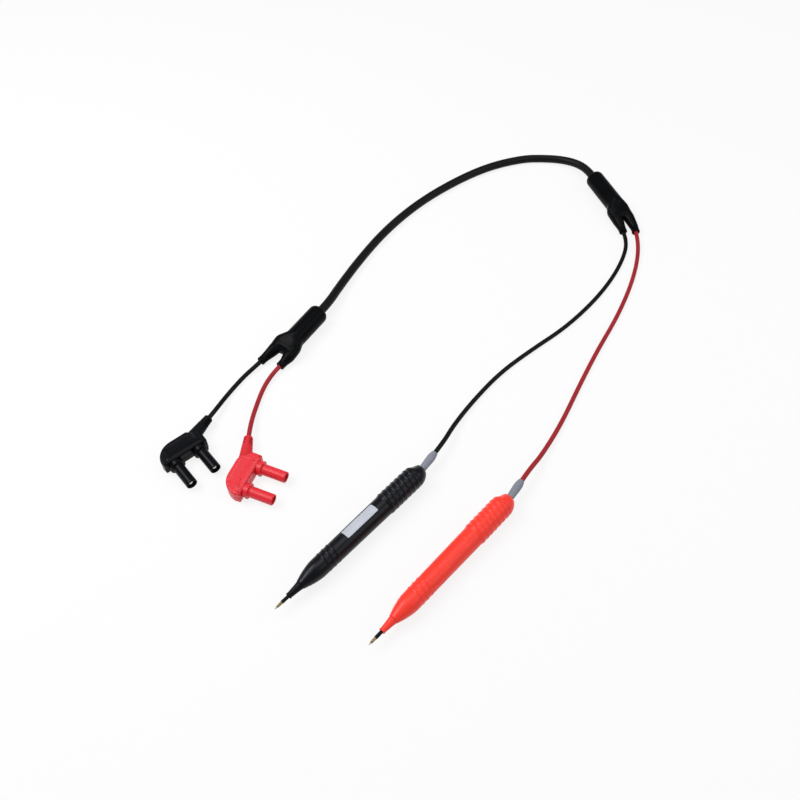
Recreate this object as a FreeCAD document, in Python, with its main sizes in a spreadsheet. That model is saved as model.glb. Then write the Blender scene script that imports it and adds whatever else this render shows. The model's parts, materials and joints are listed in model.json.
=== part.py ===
import FreeCAD, Part
import math
import os

import Sketcher

# A pin-type four-terminal test lead set, in millimetres. Two pen probes lie side by side along Y with
# their tips towards -Y, on the surface z = 0. Their leads run round to two double plugs.
# The origin lies under the middle of the two pens.

# Driving sizes. Along a pen, each "out" is how far a piece stands out of the one behind it.
SIZES = {
    "layout_unit": 1.0,
    "pen_spacing": 58.4,
    "pen_stagger": 23.0,
    "plunger_out": 1.5,
    "crown_out": 4.5,
    "guard_out": 5.4,
    "nozzle_out": 10.2,
    "nose_length": 15.5,
    "nose_radius": 3.35,
    "nose_curve": 60.0,
    "body_front_radius": 6.85,
    "body_rear_radius": 7.45,
    "front_rib_gap": 5.6,
    "front_rib_radius": 7.3,
    "front_rib_count": 3,
    "rib_pitch": 4.1,
    "rib_width": 1.5,
    "rib_root_overlap": 0.5,
    "middle_length": 46.9,
    "grip_radius": 7.8,
    "grip_step": 1.0,
    "grip_rib_radius": 8.25,
    "grip_rib_gap": 1.4,
    "grip_rib_count": 7,
    "grip_end_gap": 2.4,
    "cap_length": 8.8,
    "cap_rim": 0.9,
    "cap_end_radius": 3.3,
    "cap_curve": 15.0,
    "cap_spigot": 6.0,
    "cap_wall": 1.6,
    "cap_end_wall": 3.6,
    "cap_seat_radius": 3.6,
    "scoop_radius": 6.0,
    "scoop_depth": 1.5,
    "scoop_angle": 135.0,
    "handle_bore_radius": 5.4,
    "handle_nose_wall": 3.0,
    "label_start": 10.6,
    "label_length": 28.0,
    "label_angle": 56.0,
    "label_facing": 102.5,
    "label_depth": 0.15,
    "label_thickness": 0.12,
    "label_bed": 0.01,
    "fit_gap": 0.05,
    "slide_gap": 0.05,
    "nozzle_front_radius": 2.05,
    "nozzle_rear_radius": 3.05,
    "nozzle_shank_radius": 2.7,
    "nozzle_shank": 9.0,
    "guard_radius": 1.2,
    "contact_radius": 0.92,
    "contact_bore": 0.66,
    "crown_notch_depth": 0.6,
    "crown_notch_width": 0.7,
    "contact_collar_radius": 1.6,
    "contact_collar": 1.4,
    "contact_travel": 1.8,
    "barrel_radius": 2.4,
    "barrel_front_wall": 2.0,
    "barrel_rear_wall": 3.0,
    "outer_spring_shut": 9.2,
    "outer_wire": 0.3,
    "outer_turns": 9,
    "insulator_radius": 0.61,
    "plunger_radius": 0.4,
    "plunger_head_radius": 0.58,
    "plunger_head_taper": 0.3,
    "plunger_head": 1.0,
    "plunger_travel": 3.3,
    "plunger_collar": 1.0,
    "plunger_collar_radius": 0.62,
    "centre_barrel_radius": 1.0,
    "carrier_neck": 1.5,
    "centre_spring_room": 11.0,
    "centre_wire": 0.18,
    "centre_turns": 14,
    "centre_barrel_wall": 1.2,
    "solder_cup": 3.5,
    "carrier_front_gap": 1.2,
    "carrier_rear_gap": 4.0,
    "core_radius": 0.55,
    "core_start": 2.0,
    "core_bend": 5.0,
    "core_spread": 1.5,
    "core_close": 0.7,
    "lead_radius": 1.7,
    "clamp_length": 6.0,
    "clamp_radius": 2.5,
    "clamp_waist": 0.35,
    "clamp_margin": 2.5,
    "clamp_inset": 8.0,
    "pen_boot_root_radius": 2.6,
    "pen_boot_waist_radius": 2.55,
    "pen_boot_flange_radius": 3.4,
    "pen_boot_flange": 1.4,
    "pen_boot_belly_radius": 2.9,
    "pen_boot_length": 16.5,
    "pen_boot_lip_radius": 2.2,
    "pen_boot_tilt": 8.0,
    "plug_spacing": 19.0,
    "plug_half_thickness": 5.4,
    "plug_wall": 1.4,
    "plug_floor": 1.2,
    "plug_bevel": 0.9,
    "plug_front_near": 16.8,
    "plug_front_far": 17.4,
    "plug_side_half": 17.8,
    "plug_side_depth": 4.0,
    "plug_back_depth": 15.2,
    "plug_back_curve": 13.5,
    "plug_back_start": 4.5,
    "plug_back_end": 8.6,
    "plug_boot_side": 17.0,
    "plug_boot_side_depth": 8.0,
    "collar_radius": 5.2,
    "collar_length": 2.5,
    "flange_radius": 5.65,
    "flange_thickness": 1.2,
    "shroud_radius": 4.0,
    "shroud_bore": 3.05,
    "shroud_length": 18.0,
    "shroud_neck_radius": 3.4,
    "shroud_root_radius": 4.1,
    "shroud_root": 2.6,
    "pin_stem_radius": 1.5,
    "pin_tip_radius": 1.95,
    "pin_tip_length": 2.6,
    "pin_inset": 1.5,
    "pin_neck_radius": 1.25,
    "pin_shoulder": 1.2,
    "pin_tail": 3.2,
    "pin_cup_radius": 0.9,
    "pin_cup_depth": 2.6,
    "core_in_cup": 1.2,
    "core_corner_y": 10.3,
    "basket_wall": 0.16,
    "basket_bulge": 2.25,
    "basket_slot": 0.5,
    "basket_band": 1.6,
    "basket_slots": 3,
    "lead_boot_x": 9.8,
    "lead_boot_depth": 10.67,
    "lead_boot_tilt": 21.2,
    "lead_boot_root": 1.0,
    "lead_boot_root_radius": 3.2,
    "lead_boot_neck": 6.5,
    "lead_boot_neck_radius": 2.9,
    "lead_boot_sleeve_start": 0.4,
    "lead_boot_sleeve_radius": 4.95,
    "lead_boot_length": 20.9,
    "lead_boot_lip_radius": 3.2,
    "jacket_inset": 1.0,
    "boot_slot_first": 13.5,
    "boot_slot_pitch": 2.0,
    "boot_slot_width": 0.9,
    "boot_slot_count": 3,
    "boot_slot_floor": 0.3,
    "boot_slot_angle": 130.0,
    "breakout_radius": 7.9,
    "breakout_mouth_radius": 6.4,
    "breakout_mouth": 2.6,
    "breakout_cable_hold": 12.0,
    "breakout_cavity_radius": 6.1,
    "breakout_palm_radius": 5.2,
    "web_thickness": 8.6,
    "web_drop": 1.9,
    "web_half": 5.0,
    "web_notch": 14.0,
    "leg_root_x": 2.6,
    "leg_root_inset": 3.0,
    "leg_root_radius": 4.1,
    "leg_radius": 4.8,
    "leg_late_radius": 3.45,
    "leg_end_radius": 3.3,
    "leg_straight": 5.0,
    "leg_shoulder": 8.0,
    "shoulder_drop": 1.6,
    "palm_drop": 2.6,
    "leg_drop": 4.35,
    "plug_end_tube": 33.0,
    "plug_end_crotch": 49.0,
    "plug_end_black_crotch_x": 8.3,
    "plug_end_black_end_x": 10.7,
    "plug_end_black_end_y": 63.0,
    "plug_end_black_lean": 4.0,
    "plug_end_red_crotch_x": -5.4,
    "plug_end_red_end_x": -4.5,
    "plug_end_red_end_y": 59.0,
    "plug_end_red_lean": 3.0,
    "pen_end_tube": 39.0,
    "pen_end_crotch": 56.8,
    "pen_end_black_crotch_x": 6.05,
    "pen_end_black_end_x": 7.7,
    "pen_end_black_end_y": 69.7,
    "pen_end_black_lean": 14.0,
    "pen_end_red_crotch_x": -4.7,
    "pen_end_red_end_x": -2.3,
    "pen_end_red_end_y": 73.8,
    "pen_end_red_lean": 20.0,
    "cable_radius": 3.5,
    "sleeve_radius": 1.05,
    "sleeve_length": 5.0,
}


class Size:
    """A size as its number and as the words of the expression that gives it from the sheet."""

    def __init__(self, value, words):
        self.value = float(value)
        self.words = words

    def __add__(self, other):
        other = as_size(other)
        return Size(self.value + other.value, f"({self.words} + {other.words})")

    def __radd__(self, other):
        return as_size(other) + self

    def __sub__(self, other):
        other = as_size(other)
        return Size(self.value - other.value, f"({self.words} - {other.words})")

    def __rsub__(self, other):
        return as_size(other) - self

    def __mul__(self, other):
        other = as_size(other)
        return Size(self.value * other.value, f"({self.words} * {other.words})")

    def __rmul__(self, other):
        return as_size(other) * self

    def __truediv__(self, other):
        other = as_size(other)
        return Size(self.value / other.value, f"({self.words} / {other.words})")

    def __neg__(self):
        return Size(-self.value, f"(0 - {self.words})")


def as_size(number):
    return number if isinstance(number, Size) else Size(number, repr(float(number)))


doc = FreeCAD.newDocument("LeadSet")
sheet = doc.addObject("Spreadsheet::Sheet", "Sizes")
for line, (alias, number) in enumerate(SIZES.items(), start=1):
    sheet.set(f"A{line}", alias)
    sheet.set(f"B{line}", str(number))
    sheet.setAlias(f"B{line}", alias)
doc.recompute()
S = {alias: Size(number, f"Sizes.{alias}") for alias, number in SIZES.items()}

PIECES = []


def new_body(name):
    body = doc.addObject("PartDesign::Body", name)
    body.Label = name
    PIECES.append(body)
    return body


def set_place(piece, place):
    """place is (x, y, z, turn about Z in degrees); each may be a Size."""
    x, y, z, turn = (as_size(part) for part in place)
    rotation = FreeCAD.Rotation(FreeCAD.Vector(0, 0, 1), turn.value)
    piece.Placement = FreeCAD.Placement(FreeCAD.Vector(x.value, y.value, z.value), rotation)
    for axis, size in zip("xyz", (x, y, z)):
        piece.setExpression(f"Placement.Base.{axis}", size.words)


def origin_item(body, role):
    return next(item for item in body.Origin.OriginFeatures if item.Role == role)


def new_sketch(body, name, plane="XY_Plane", shift=(0, 0, 0), axis=(0, 0, 1), turn=0):
    """A sketch on an origin plane, moved by shift and turned about axis in the plane's own frame."""
    sketch = body.newObject("Sketcher::SketchObject", f"{body.Name}_{name}")
    sketch.AttachmentSupport = (origin_item(body, plane), [""])
    sketch.MapMode = "FlatFace"
    shift = [as_size(part) for part in shift]
    turn = as_size(turn)
    rotation = FreeCAD.Rotation(FreeCAD.Vector(*axis), turn.value)
    base = FreeCAD.Vector(*(part.value for part in shift))
    sketch.AttachmentOffset = FreeCAD.Placement(base, rotation)
    for letter, part in zip("xyz", shift):
        if "Sizes" in part.words:
            sketch.setExpression(f"AttachmentOffset.Base.{letter}", part.words)
    if "Sizes" in turn.words and turn.value > 0:
        sketch.setExpression("AttachmentOffset.Rotation.Angle", turn.words)
    return sketch


def arc_through(start, end, radius, side):
    """The minor arc from start to end, bulging to the left (side 1) or right (-1) of the way."""
    chord = end - start
    half = chord.Length / 2
    radius = max(radius, half * 1.0001)
    normal = FreeCAD.Vector(-chord.y, chord.x, 0).normalize() * side
    middle = (start + end) * 0.5
    top = middle + normal * (radius - math.sqrt(radius * radius - half * half))
    return Part.Arc(start, top, end) if side < 0 else Part.Arc(end, top, start)


def draw_outline(sketch, corners, arcs=None):
    """A closed outline through corners; arcs gives (radius, side) for the edge after a corner."""
    arcs = arcs or {}
    corners = [(as_size(x), as_size(y)) for x, y in corners]
    points = [FreeCAD.Vector(x.value, y.value, 0) for x, y in corners]
    count = len(points)
    starts = []
    ends = []
    for index in range(count):
        start = points[index]
        end = points[(index + 1) % count]
        if index in arcs:
            radius, side = arcs[index]
            curve = arc_through(start, end, as_size(radius).value, side)
            geometry = sketch.addGeometry(curve, False)
            first = sketch.Geometry[geometry].StartPoint
            runs_forward = first.distanceToPoint(start) < first.distanceToPoint(end)
            starts.append((geometry, 1 if runs_forward else 2))
            ends.append((geometry, 2 if runs_forward else 1))
        else:
            geometry = sketch.addGeometry(Part.LineSegment(start, end), False)
            starts.append((geometry, 1))
            ends.append((geometry, 2))
    for index in range(count):
        sketch.addConstraint(Sketcher.Constraint("Coincident", *ends[index - 1], *starts[index]))
    for index, (x, y) in enumerate(corners):
        geometry, end = starts[index]
        for kind, size, line in (("DistanceX", x, -2), ("DistanceY", y, -1)):
            if size.value == 0 and "Sizes" not in size.words:
                sketch.addConstraint(Sketcher.Constraint("PointOnObject", geometry, end, line))
                continue
            made = sketch.addConstraint(
                Sketcher.Constraint(kind, -1, 1, geometry, end, size.value))
            sketch.setExpression(f"Constraints[{made}]", size.words)
    for index, (radius, side) in arcs.items():
        radius = as_size(radius)
        made = sketch.addConstraint(Sketcher.Constraint("Radius", starts[index][0], radius.value))
        sketch.setExpression(f"Constraints[{made}]", radius.words)
    return sketch


def draw_circle(sketch, radius, centre=(0, 0)):
    x, y = (as_size(part) for part in centre)
    radius = as_size(radius)
    circle = Part.Circle(FreeCAD.Vector(x.value, y.value, 0), FreeCAD.Vector(0, 0, 1), radius.value)
    geometry = sketch.addGeometry(circle, False)
    made = sketch.addConstraint(Sketcher.Constraint("Radius", geometry, radius.value))
    sketch.setExpression(f"Constraints[{made}]", radius.words)
    for kind, size, line in (("DistanceX", x, -2), ("DistanceY", y, -1)):
        if size.value == 0 and "Sizes" not in size.words:
            sketch.addConstraint(Sketcher.Constraint("PointOnObject", geometry, 3, line))
            continue
        made = sketch.addConstraint(Sketcher.Constraint(kind, -1, 1, geometry, 3, size.value))
        sketch.setExpression(f"Constraints[{made}]", size.words)
    return sketch


def feature(body, kind, sketch, **settings):
    """A feature made from one sketch; it becomes the body's tip."""
    made = body.newObject(f"PartDesign::{kind}", f"{sketch.Name}_{kind}")
    made.Profile = (sketch, [""])
    sketch.Visibility = False
    for name, value in settings.items():
        if isinstance(value, Size):
            setattr(made, name, value.value)
            made.setExpression(name, value.words)
        else:
            setattr(made, name, value)
    body.Tip = made
    return made


def turned(body, name, corners, arcs=None, cut=False, angle=360, **place):
    """A solid, or a cut, turned about the sketch's own Y axis from a half outline (radius, y)."""
    sketch = new_sketch(body, name, **place)
    draw_outline(sketch, corners, arcs)
    made = feature(body, "Groove" if cut else "Revolution", sketch,
                   ReferenceAxis=(sketch, ["V_Axis"]), Midplane=True)
    angle = as_size(angle)
    made.Angle = angle.value
    if "Sizes" in angle.words:
        made.setExpression("Angle", angle.words)
    return made


def repeated(body, kind, original, axis_role, count, length=None, angle=None):
    """A row along an axis or a ring about it; "own" is the upright axis of the feature's sketch."""
    made = body.newObject(f"PartDesign::{kind}", f"{original.Name}_{kind}")
    made.Originals = [original]
    if axis_role == "own":
        axis = (original.Profile[0], ["V_Axis"])
    else:
        axis = (origin_item(body, axis_role), [""])
    if kind == "LinearPattern":
        made.Direction = axis
        made.Length = length.value
        made.setExpression("Length", length.words)
    else:
        made.Axis = axis
        made.Angle = angle
    made.Occurrences = int(round(as_size(count).value))
    if isinstance(count, Size):
        made.setExpression("Occurrences", count.words)
    body.Tip = made
    return made


def cord_path(points):
    """Straight runs joined by tangent arcs of 0.45 of the shorter run over tan(half the turn)."""
    points = [FreeCAD.Vector(*point) for point in points]
    edges = []
    radii = []
    start = points[0]
    for before, corner, after in zip(points, points[1:], points[2:]):
        way_in = (corner - before).normalize()
        way_out = (after - corner).normalize()
        turn = way_in.getAngle(way_out)
        cut = 0.45 * min(before.distanceToPoint(corner), corner.distanceToPoint(after))
        radii.append(cut / math.tan(turn / 2))
        arc_start = corner - way_in * cut
        arc_end = corner + way_out * cut
        bisector = (way_out - way_in).normalize()
        centre_reach = radii[-1] / math.cos(turn / 2)
        arc_middle = corner + bisector * (centre_reach - radii[-1])
        edges.append(Part.LineSegment(start, arc_start).toShape())
        edges.append(Part.Arc(arc_start, arc_middle, arc_end).toShape())
        start = arc_end
    edges.append(Part.LineSegment(start, points[-1]).toShape())
    return Part.Wire(edges), radii


def tube(points, radius):
    """A round tube along cord_path, with its volume compared with section times length."""
    wire, radii = cord_path(points)
    first = FreeCAD.Vector(*points[0])
    way = (FreeCAD.Vector(*points[1]) - first).normalize()
    ring = Part.Wire([Part.Circle(first, way, radius).toShape()])
    solid = wire.makePipeShell([ring], True, False)
    expected = math.pi * radius * radius * wire.Length
    if abs(solid.Volume - expected) > 0.01 * expected:
        raise ValueError(f"tube volume {solid.Volume:.1f}, expected {expected:.1f}")
    return solid, wire.Length, radii


def new_shape(name, shape, place=None):
    piece = doc.addObject("Part::Feature", name)
    piece.Label = name
    piece.Shape = shape
    PIECES.append(piece)
    if place:
        set_place(piece, place)
    return piece


# Stations along a pen, from the tip of the centre plunger at y = 0 to the back of the cap.
crown_y = S["plunger_out"]
guard_y = crown_y + S["crown_out"]
nozzle_y = guard_y + S["guard_out"]
handle_y = nozzle_y + S["nozzle_out"]
nose_end_y = handle_y + S["nose_length"]
front_rib_y = nose_end_y + S["front_rib_gap"]
middle_y = front_rib_y + S["rib_pitch"] * (S["front_rib_count"] - 1) + S["rib_width"]
grip_y = middle_y + S["middle_length"]
grip_rib_y = grip_y + S["grip_rib_gap"]
cap_y = grip_rib_y + S["rib_pitch"] * (S["grip_rib_count"] - 1) + S["grip_end_gap"]
cap_end_y = cap_y + S["cap_length"]
label_y = middle_y + S["label_start"]
shank_end_y = handle_y + S["nozzle_shank"]
contact_stop_y = shank_end_y + S["barrel_front_wall"]
contact_collar_end_y = contact_stop_y + S["contact_collar"]
spring_room = S["contact_travel"] + S["outer_spring_shut"]
barrel_wall_y = contact_collar_end_y + spring_room
barrel_end_y = barrel_wall_y + S["barrel_rear_wall"]
centre_y = barrel_end_y + S["carrier_neck"]
plunger_collar_y = centre_y + S["fit_gap"]
plunger_end_y = plunger_collar_y + S["plunger_collar"]
centre_wall_y = plunger_end_y + S["centre_spring_room"]
cup_y = centre_wall_y + S["centre_barrel_wall"]
cup_end_y = cup_y + S["solder_cup"]
carrier_y = shank_end_y + S["handle_nose_wall"] + S["carrier_front_gap"]
carrier_end_y = centre_wall_y - S["carrier_rear_gap"]
clamp_y = cap_y - S["clamp_inset"]

pen_axis_z = S["grip_rib_radius"]
pen_x = S["pen_spacing"] * 0.5
black_pen_y = -0.5 * (cap_end_y + S["pen_stagger"])
red_pen_y = black_pen_y + S["pen_stagger"]

guard_bore = S["contact_radius"] + S["slide_gap"]
barrel_bore = S["contact_collar_radius"] + S["slide_gap"]
insulator_bore = S["plunger_radius"] + S["slide_gap"]
centre_bore = S["plunger_collar_radius"] + S["slide_gap"]
cup_bore = S["core_radius"] + S["slide_gap"]
nozzle_bore = S["guard_radius"] + S["fit_gap"]
lead_bore = S["lead_radius"] + S["fit_gap"]
core_aside = S["core_radius"] + S["fit_gap"]
outer_core_x = S["centre_barrel_radius"] + S["core_radius"] + 4 * S["fit_gap"]


def handle(name, place):
    """The moulded grip: a smooth nose, a slightly tapered body with ribs and a label seat."""
    body = new_body(name)
    bore = S["handle_bore_radius"]
    shank = S["nozzle_shank_radius"] + S["fit_gap"]
    corners = [
        (shank, handle_y),
        (S["nose_radius"], handle_y),
        (S["body_front_radius"], nose_end_y),
        (S["body_rear_radius"], grip_y - S["grip_step"]),
        (S["grip_radius"], grip_y),
        (S["grip_radius"], cap_y),
        (bore, cap_y),
        (bore, shank_end_y + S["handle_nose_wall"]),
        (shank, shank_end_y),
    ]
    turned(body, "shell", corners, arcs={1: (S["nose_curve"], -1)})
    half = S["rib_width"] * 0.5
    crest = S["rib_width"] * 0.2
    for group, first, top, base, count in (
            ("front_rib", front_rib_y, S["front_rib_radius"], S["body_front_radius"], S["front_rib_count"]),
            ("grip_rib", grip_rib_y, S["grip_rib_radius"], S["grip_radius"], S["grip_rib_count"])):
        root = base - S["rib_root_overlap"]
        rib = turned(body, group, [(root, first - half), (root, first + half),
                                   (base, first + half), (top, first + crest),
                                   (top, first - crest), (base, first - half)])
        repeated(body, "LinearPattern", rib, "Y_Axis", count, length=S["rib_pitch"] * (count - 1))
    # The label seat is a shallow band of the body's own taper, cut over part of the round.
    slope = (S["body_rear_radius"].value - S["body_front_radius"].value) / (
        grip_y.value - S["grip_step"].value - nose_end_y.value)
    near = S["body_front_radius"] + (label_y - nose_end_y) * slope
    far = near + S["label_length"] * slope
    out = near + 1.0
    label_end_y = label_y + S["label_length"]
    turned(body, "label_seat", [(near - S["label_depth"], label_y), (out, label_y),
                                (out, label_end_y), (far - S["label_depth"], label_end_y)],
           cut=True, angle=S["label_angle"], axis=(0, -1, 0), turn=S["label_facing"])
    set_place(body, place)
    return near, far


def label(name, place, near, far):
    """A bare metallised plate that lies in the label seat."""
    body = new_body(name)
    gap = S["fit_gap"]
    inner = S["label_depth"] - S["label_bed"]
    outer = inner - S["label_thickness"]
    start = label_y + gap
    end = label_y + S["label_length"] - gap
    turned(body, "plate", [(near - inner, start), (near - outer, start),
                           (far - outer, end), (far - inner, end)],
           angle=S["label_angle"] - 1.0, axis=(0, -1, 0), turn=S["label_facing"])
    set_place(body, place)


def rear_cap(name, place):
    """The dome that closes the handle: a spigot in the bore, a hole for the boot, a scooped side."""
    body = new_body(name)
    spigot = S["handle_bore_radius"] - S["fit_gap"]
    hole = S["pen_boot_root_radius"] + S["fit_gap"]
    corners = [
        (hole, cap_end_y),
        (hole, cap_end_y - S["cap_end_wall"]),
        (S["cap_seat_radius"], cap_end_y - S["cap_end_wall"]),
        (spigot - S["cap_wall"], cap_y + S["cap_rim"]),
        (spigot - S["cap_wall"], cap_y - S["cap_spigot"]),
        (spigot, cap_y - S["cap_spigot"]),
        (spigot, cap_y),
        (S["grip_radius"], cap_y),
        (S["grip_radius"], cap_y + S["cap_rim"]),
        (S["cap_end_radius"], cap_end_y),
    ]
    turned(body, "dome", corners, arcs={8: (S["cap_curve"], -1)})
    reach = S["grip_radius"] + S["scoop_radius"] - S["scoop_depth"]
    turn = math.radians(S["scoop_angle"].value)
    ball = S["scoop_radius"]
    centre = cap_y + S["cap_length"] * 0.45
    sketch = new_sketch(body, "scoop", shift=(reach * math.cos(turn), centre, reach * math.sin(turn)))
    half_disc(sketch, ball)
    feature(body, "Groove", sketch, ReferenceAxis=(sketch, ["V_Axis"]), Midplane=True, Angle=360)
    set_place(body, place)


def half_disc(sketch, radius):
    """Half a disc on the right of the sketch's Y axis, which turns into a ball."""
    top = FreeCAD.Vector(0, radius.value, 0)
    bottom = FreeCAD.Vector(0, -radius.value, 0)
    side = FreeCAD.Vector(radius.value, 0, 0)
    arc = sketch.addGeometry(Part.Arc(bottom, side, top), False)
    line = sketch.addGeometry(Part.LineSegment(top, bottom), False)
    sketch.addConstraint(Sketcher.Constraint("Coincident", arc, 2, line, 1))
    sketch.addConstraint(Sketcher.Constraint("Coincident", line, 2, arc, 1))
    sketch.addConstraint(Sketcher.Constraint("Coincident", arc, 3, -1, 1))
    sketch.addConstraint(Sketcher.Constraint("PointOnObject", line, 1, -2))
    sketch.addConstraint(Sketcher.Constraint("PointOnObject", line, 2, -2))
    made = sketch.addConstraint(Sketcher.Constraint("Radius", arc, radius.value))
    sketch.setExpression(f"Constraints[{made}]", radius.words)


def nozzle(name, place):
    """The small cone at the front, with a shank in the handle's nose."""
    body = new_body(name)
    turned(body, "cone", [(nozzle_bore, nozzle_y), (S["nozzle_front_radius"], nozzle_y),
                          (S["nozzle_rear_radius"], handle_y), (S["nozzle_shank_radius"], handle_y),
                          (S["nozzle_shank_radius"], shank_end_y), (nozzle_bore, shank_end_y)])
    set_place(body, place)


def guard_tube(name, place):
    """The dark sleeve that insulates the outer contact."""
    body = new_body(name)
    turned(body, "sleeve", [(guard_bore, guard_y), (S["guard_radius"], guard_y),
                            (S["guard_radius"], shank_end_y), (guard_bore, shank_end_y)])
    set_place(body, place)


def outer_contact(name, place):
    """The gold tube: four crown teeth in front, a stop collar behind."""
    body = new_body(name)
    bore = S["contact_bore"]
    turned(body, "tube", [(bore, crown_y), (S["contact_radius"], crown_y),
                          (S["contact_radius"], contact_stop_y),
                          (S["contact_collar_radius"], contact_stop_y),
                          (S["contact_collar_radius"], contact_collar_end_y),
                          (bore, contact_collar_end_y)])
    half = S["crown_notch_width"] * 0.5
    sketch = new_sketch(body, "notch")
    draw_outline(sketch, [(-half, crown_y - S["slide_gap"]), (half, crown_y - S["slide_gap"]),
                          (0, crown_y + S["crown_notch_depth"])])
    notch = feature(body, "Pocket", sketch, Midplane=True, Length=S["contact_radius"] * 3)
    repeated(body, "PolarPattern", notch, "Y_Axis", 2, angle=90)
    set_place(body, place)


def coil_spring(name, place, start, room, outside, wire, turns):
    """A compression spring that fills the room behind start, just inside the radius outside."""
    body = new_body(name)
    half = wire * 0.5
    sketch = new_sketch(body, "wire")
    draw_circle(sketch, half, (outside - S["slide_gap"] - half, start + half + S["fit_gap"]))
    height = room - wire - 2 * S["fit_gap"]
    coil = feature(body, "AdditiveHelix", sketch, ReferenceAxis=(sketch, ["V_Axis"]), Mode=2)
    coil.Height = height.value
    coil.Turns = turns.value
    coil.setExpression("Height", height.words)
    coil.setExpression("Turns", turns.words)
    set_place(body, place)


def contact_barrel(name, place):
    """The tube that guides the outer contact and holds its spring."""
    body = new_body(name)
    radius = S["barrel_radius"]
    hole = S["insulator_radius"] + S["fit_gap"]
    front = contact_stop_y - S["slide_gap"]
    turned(body, "tube", [(guard_bore, shank_end_y + S["fit_gap"]), (radius, shank_end_y + S["fit_gap"]),
                          (radius, barrel_end_y), (hole, barrel_end_y), (hole, barrel_wall_y),
                          (barrel_bore, barrel_wall_y), (barrel_bore, front),
                          (guard_bore, front)])
    set_place(body, place)


def inner_insulator(name, place):
    """The thin sleeve between the two contacts, open in front for the plunger's head."""
    body = new_body(name)
    start = S["plunger_head"] + S["plunger_head_taper"] + S["plunger_travel"] + S["slide_gap"]
    turned(body, "sleeve", [(insulator_bore, start), (S["insulator_radius"], start),
                            (S["insulator_radius"], centre_y), (insulator_bore, centre_y)])
    set_place(body, place)


def centre_plunger(name, place):
    """The silver pin: a small pointed head, a shaft and a stop collar."""
    body = new_body(name)
    head = S["plunger_head_radius"]
    shaft = S["plunger_radius"]
    turned(body, "pin", [(0, 0), (head, head), (head, S["plunger_head"]),
                         (shaft, S["plunger_head"] + S["plunger_head_taper"]), (shaft, plunger_collar_y),
                         (S["plunger_collar_radius"], plunger_collar_y),
                         (S["plunger_collar_radius"], plunger_end_y), (0, plunger_end_y)])
    set_place(body, place)


def centre_barrel(name, place):
    """The tube round the centre spring, closed behind, with a solder cup."""
    body = new_body(name)
    radius = S["centre_barrel_radius"]
    bore = centre_bore
    turned(body, "tube", [(bore, centre_y + S["fit_gap"]), (radius, centre_y + S["fit_gap"]),
                          (radius, cup_end_y), (cup_bore, cup_end_y), (cup_bore, cup_y), (0, cup_y),
                          (0, centre_wall_y), (bore, centre_wall_y)])
    set_place(body, place)


def pin_carrier(name, place):
    """The moulded bush that centres both barrels, with a channel for the outer core."""
    body = new_body(name)
    radius = S["handle_bore_radius"] - S["fit_gap"]
    hole = S["barrel_radius"] + S["fit_gap"]
    neck = S["insulator_radius"] + S["fit_gap"]
    rear = S["centre_barrel_radius"] + S["fit_gap"]
    turned(body, "bush", [(hole, carrier_y), (radius, carrier_y), (radius, carrier_end_y),
                          (rear, carrier_end_y), (rear, centre_y), (neck, centre_y),
                          (neck, barrel_end_y + S["fit_gap"]), (hole, barrel_end_y + S["fit_gap"])])
    channel = S["core_radius"] + S["fit_gap"]
    over = carrier_end_y + S["fit_gap"]
    turned(body, "channel", [(0, barrel_end_y), (channel, barrel_end_y), (channel, over), (0, over)],
           cut=True, shift=(outer_core_x, 0, 0))
    set_place(body, place)


def lead_clamp(name, place):
    """The crimped ferrule on the lead's jacket, with a pressed waist."""
    body = new_body(name)
    end = clamp_y + S["clamp_length"]
    third = S["clamp_length"] * 0.3
    waist = S["clamp_radius"] - S["clamp_waist"]
    turned(body, "ferrule", [(lead_bore, clamp_y), (S["clamp_radius"], clamp_y),
                             (S["clamp_radius"], clamp_y + third),
                             (waist, clamp_y + S["clamp_length"] * 0.5),
                             (S["clamp_radius"], end - third), (S["clamp_radius"], end),
                             (lead_bore, end)])
    set_place(body, place)


def vector(x, y, z=0):
    return FreeCAD.Vector(*(as_size(part).value for part in (x, y, z)))


def tilted(base, length, degrees):
    """The point at length from base, at degrees from +Y towards -X."""
    turn = math.radians(as_size(degrees).value)
    reach = as_size(length).value
    return base + FreeCAD.Vector(-math.sin(turn), math.cos(turn), 0) * reach


def pen_lead_points():
    elbow = vector(0, cap_end_y)
    start = vector(0, clamp_y - S["clamp_margin"])
    return [start, elbow, tilted(elbow, S["pen_boot_length"], S["pen_boot_tilt"])]


def cut_by(name, body, tool_shape):
    """The body less a tool shape, as one piece under the body's name."""
    tool = doc.addObject("Part::Feature", f"{name}_bore")
    tool.Shape = tool_shape
    piece = doc.addObject("Part::Cut", f"{name}_cut")
    piece.Base = body
    piece.Tool = tool
    body.Label = f"{name}_solid"
    PIECES.remove(body)
    piece.Label = name
    PIECES.append(piece)
    return piece


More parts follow.
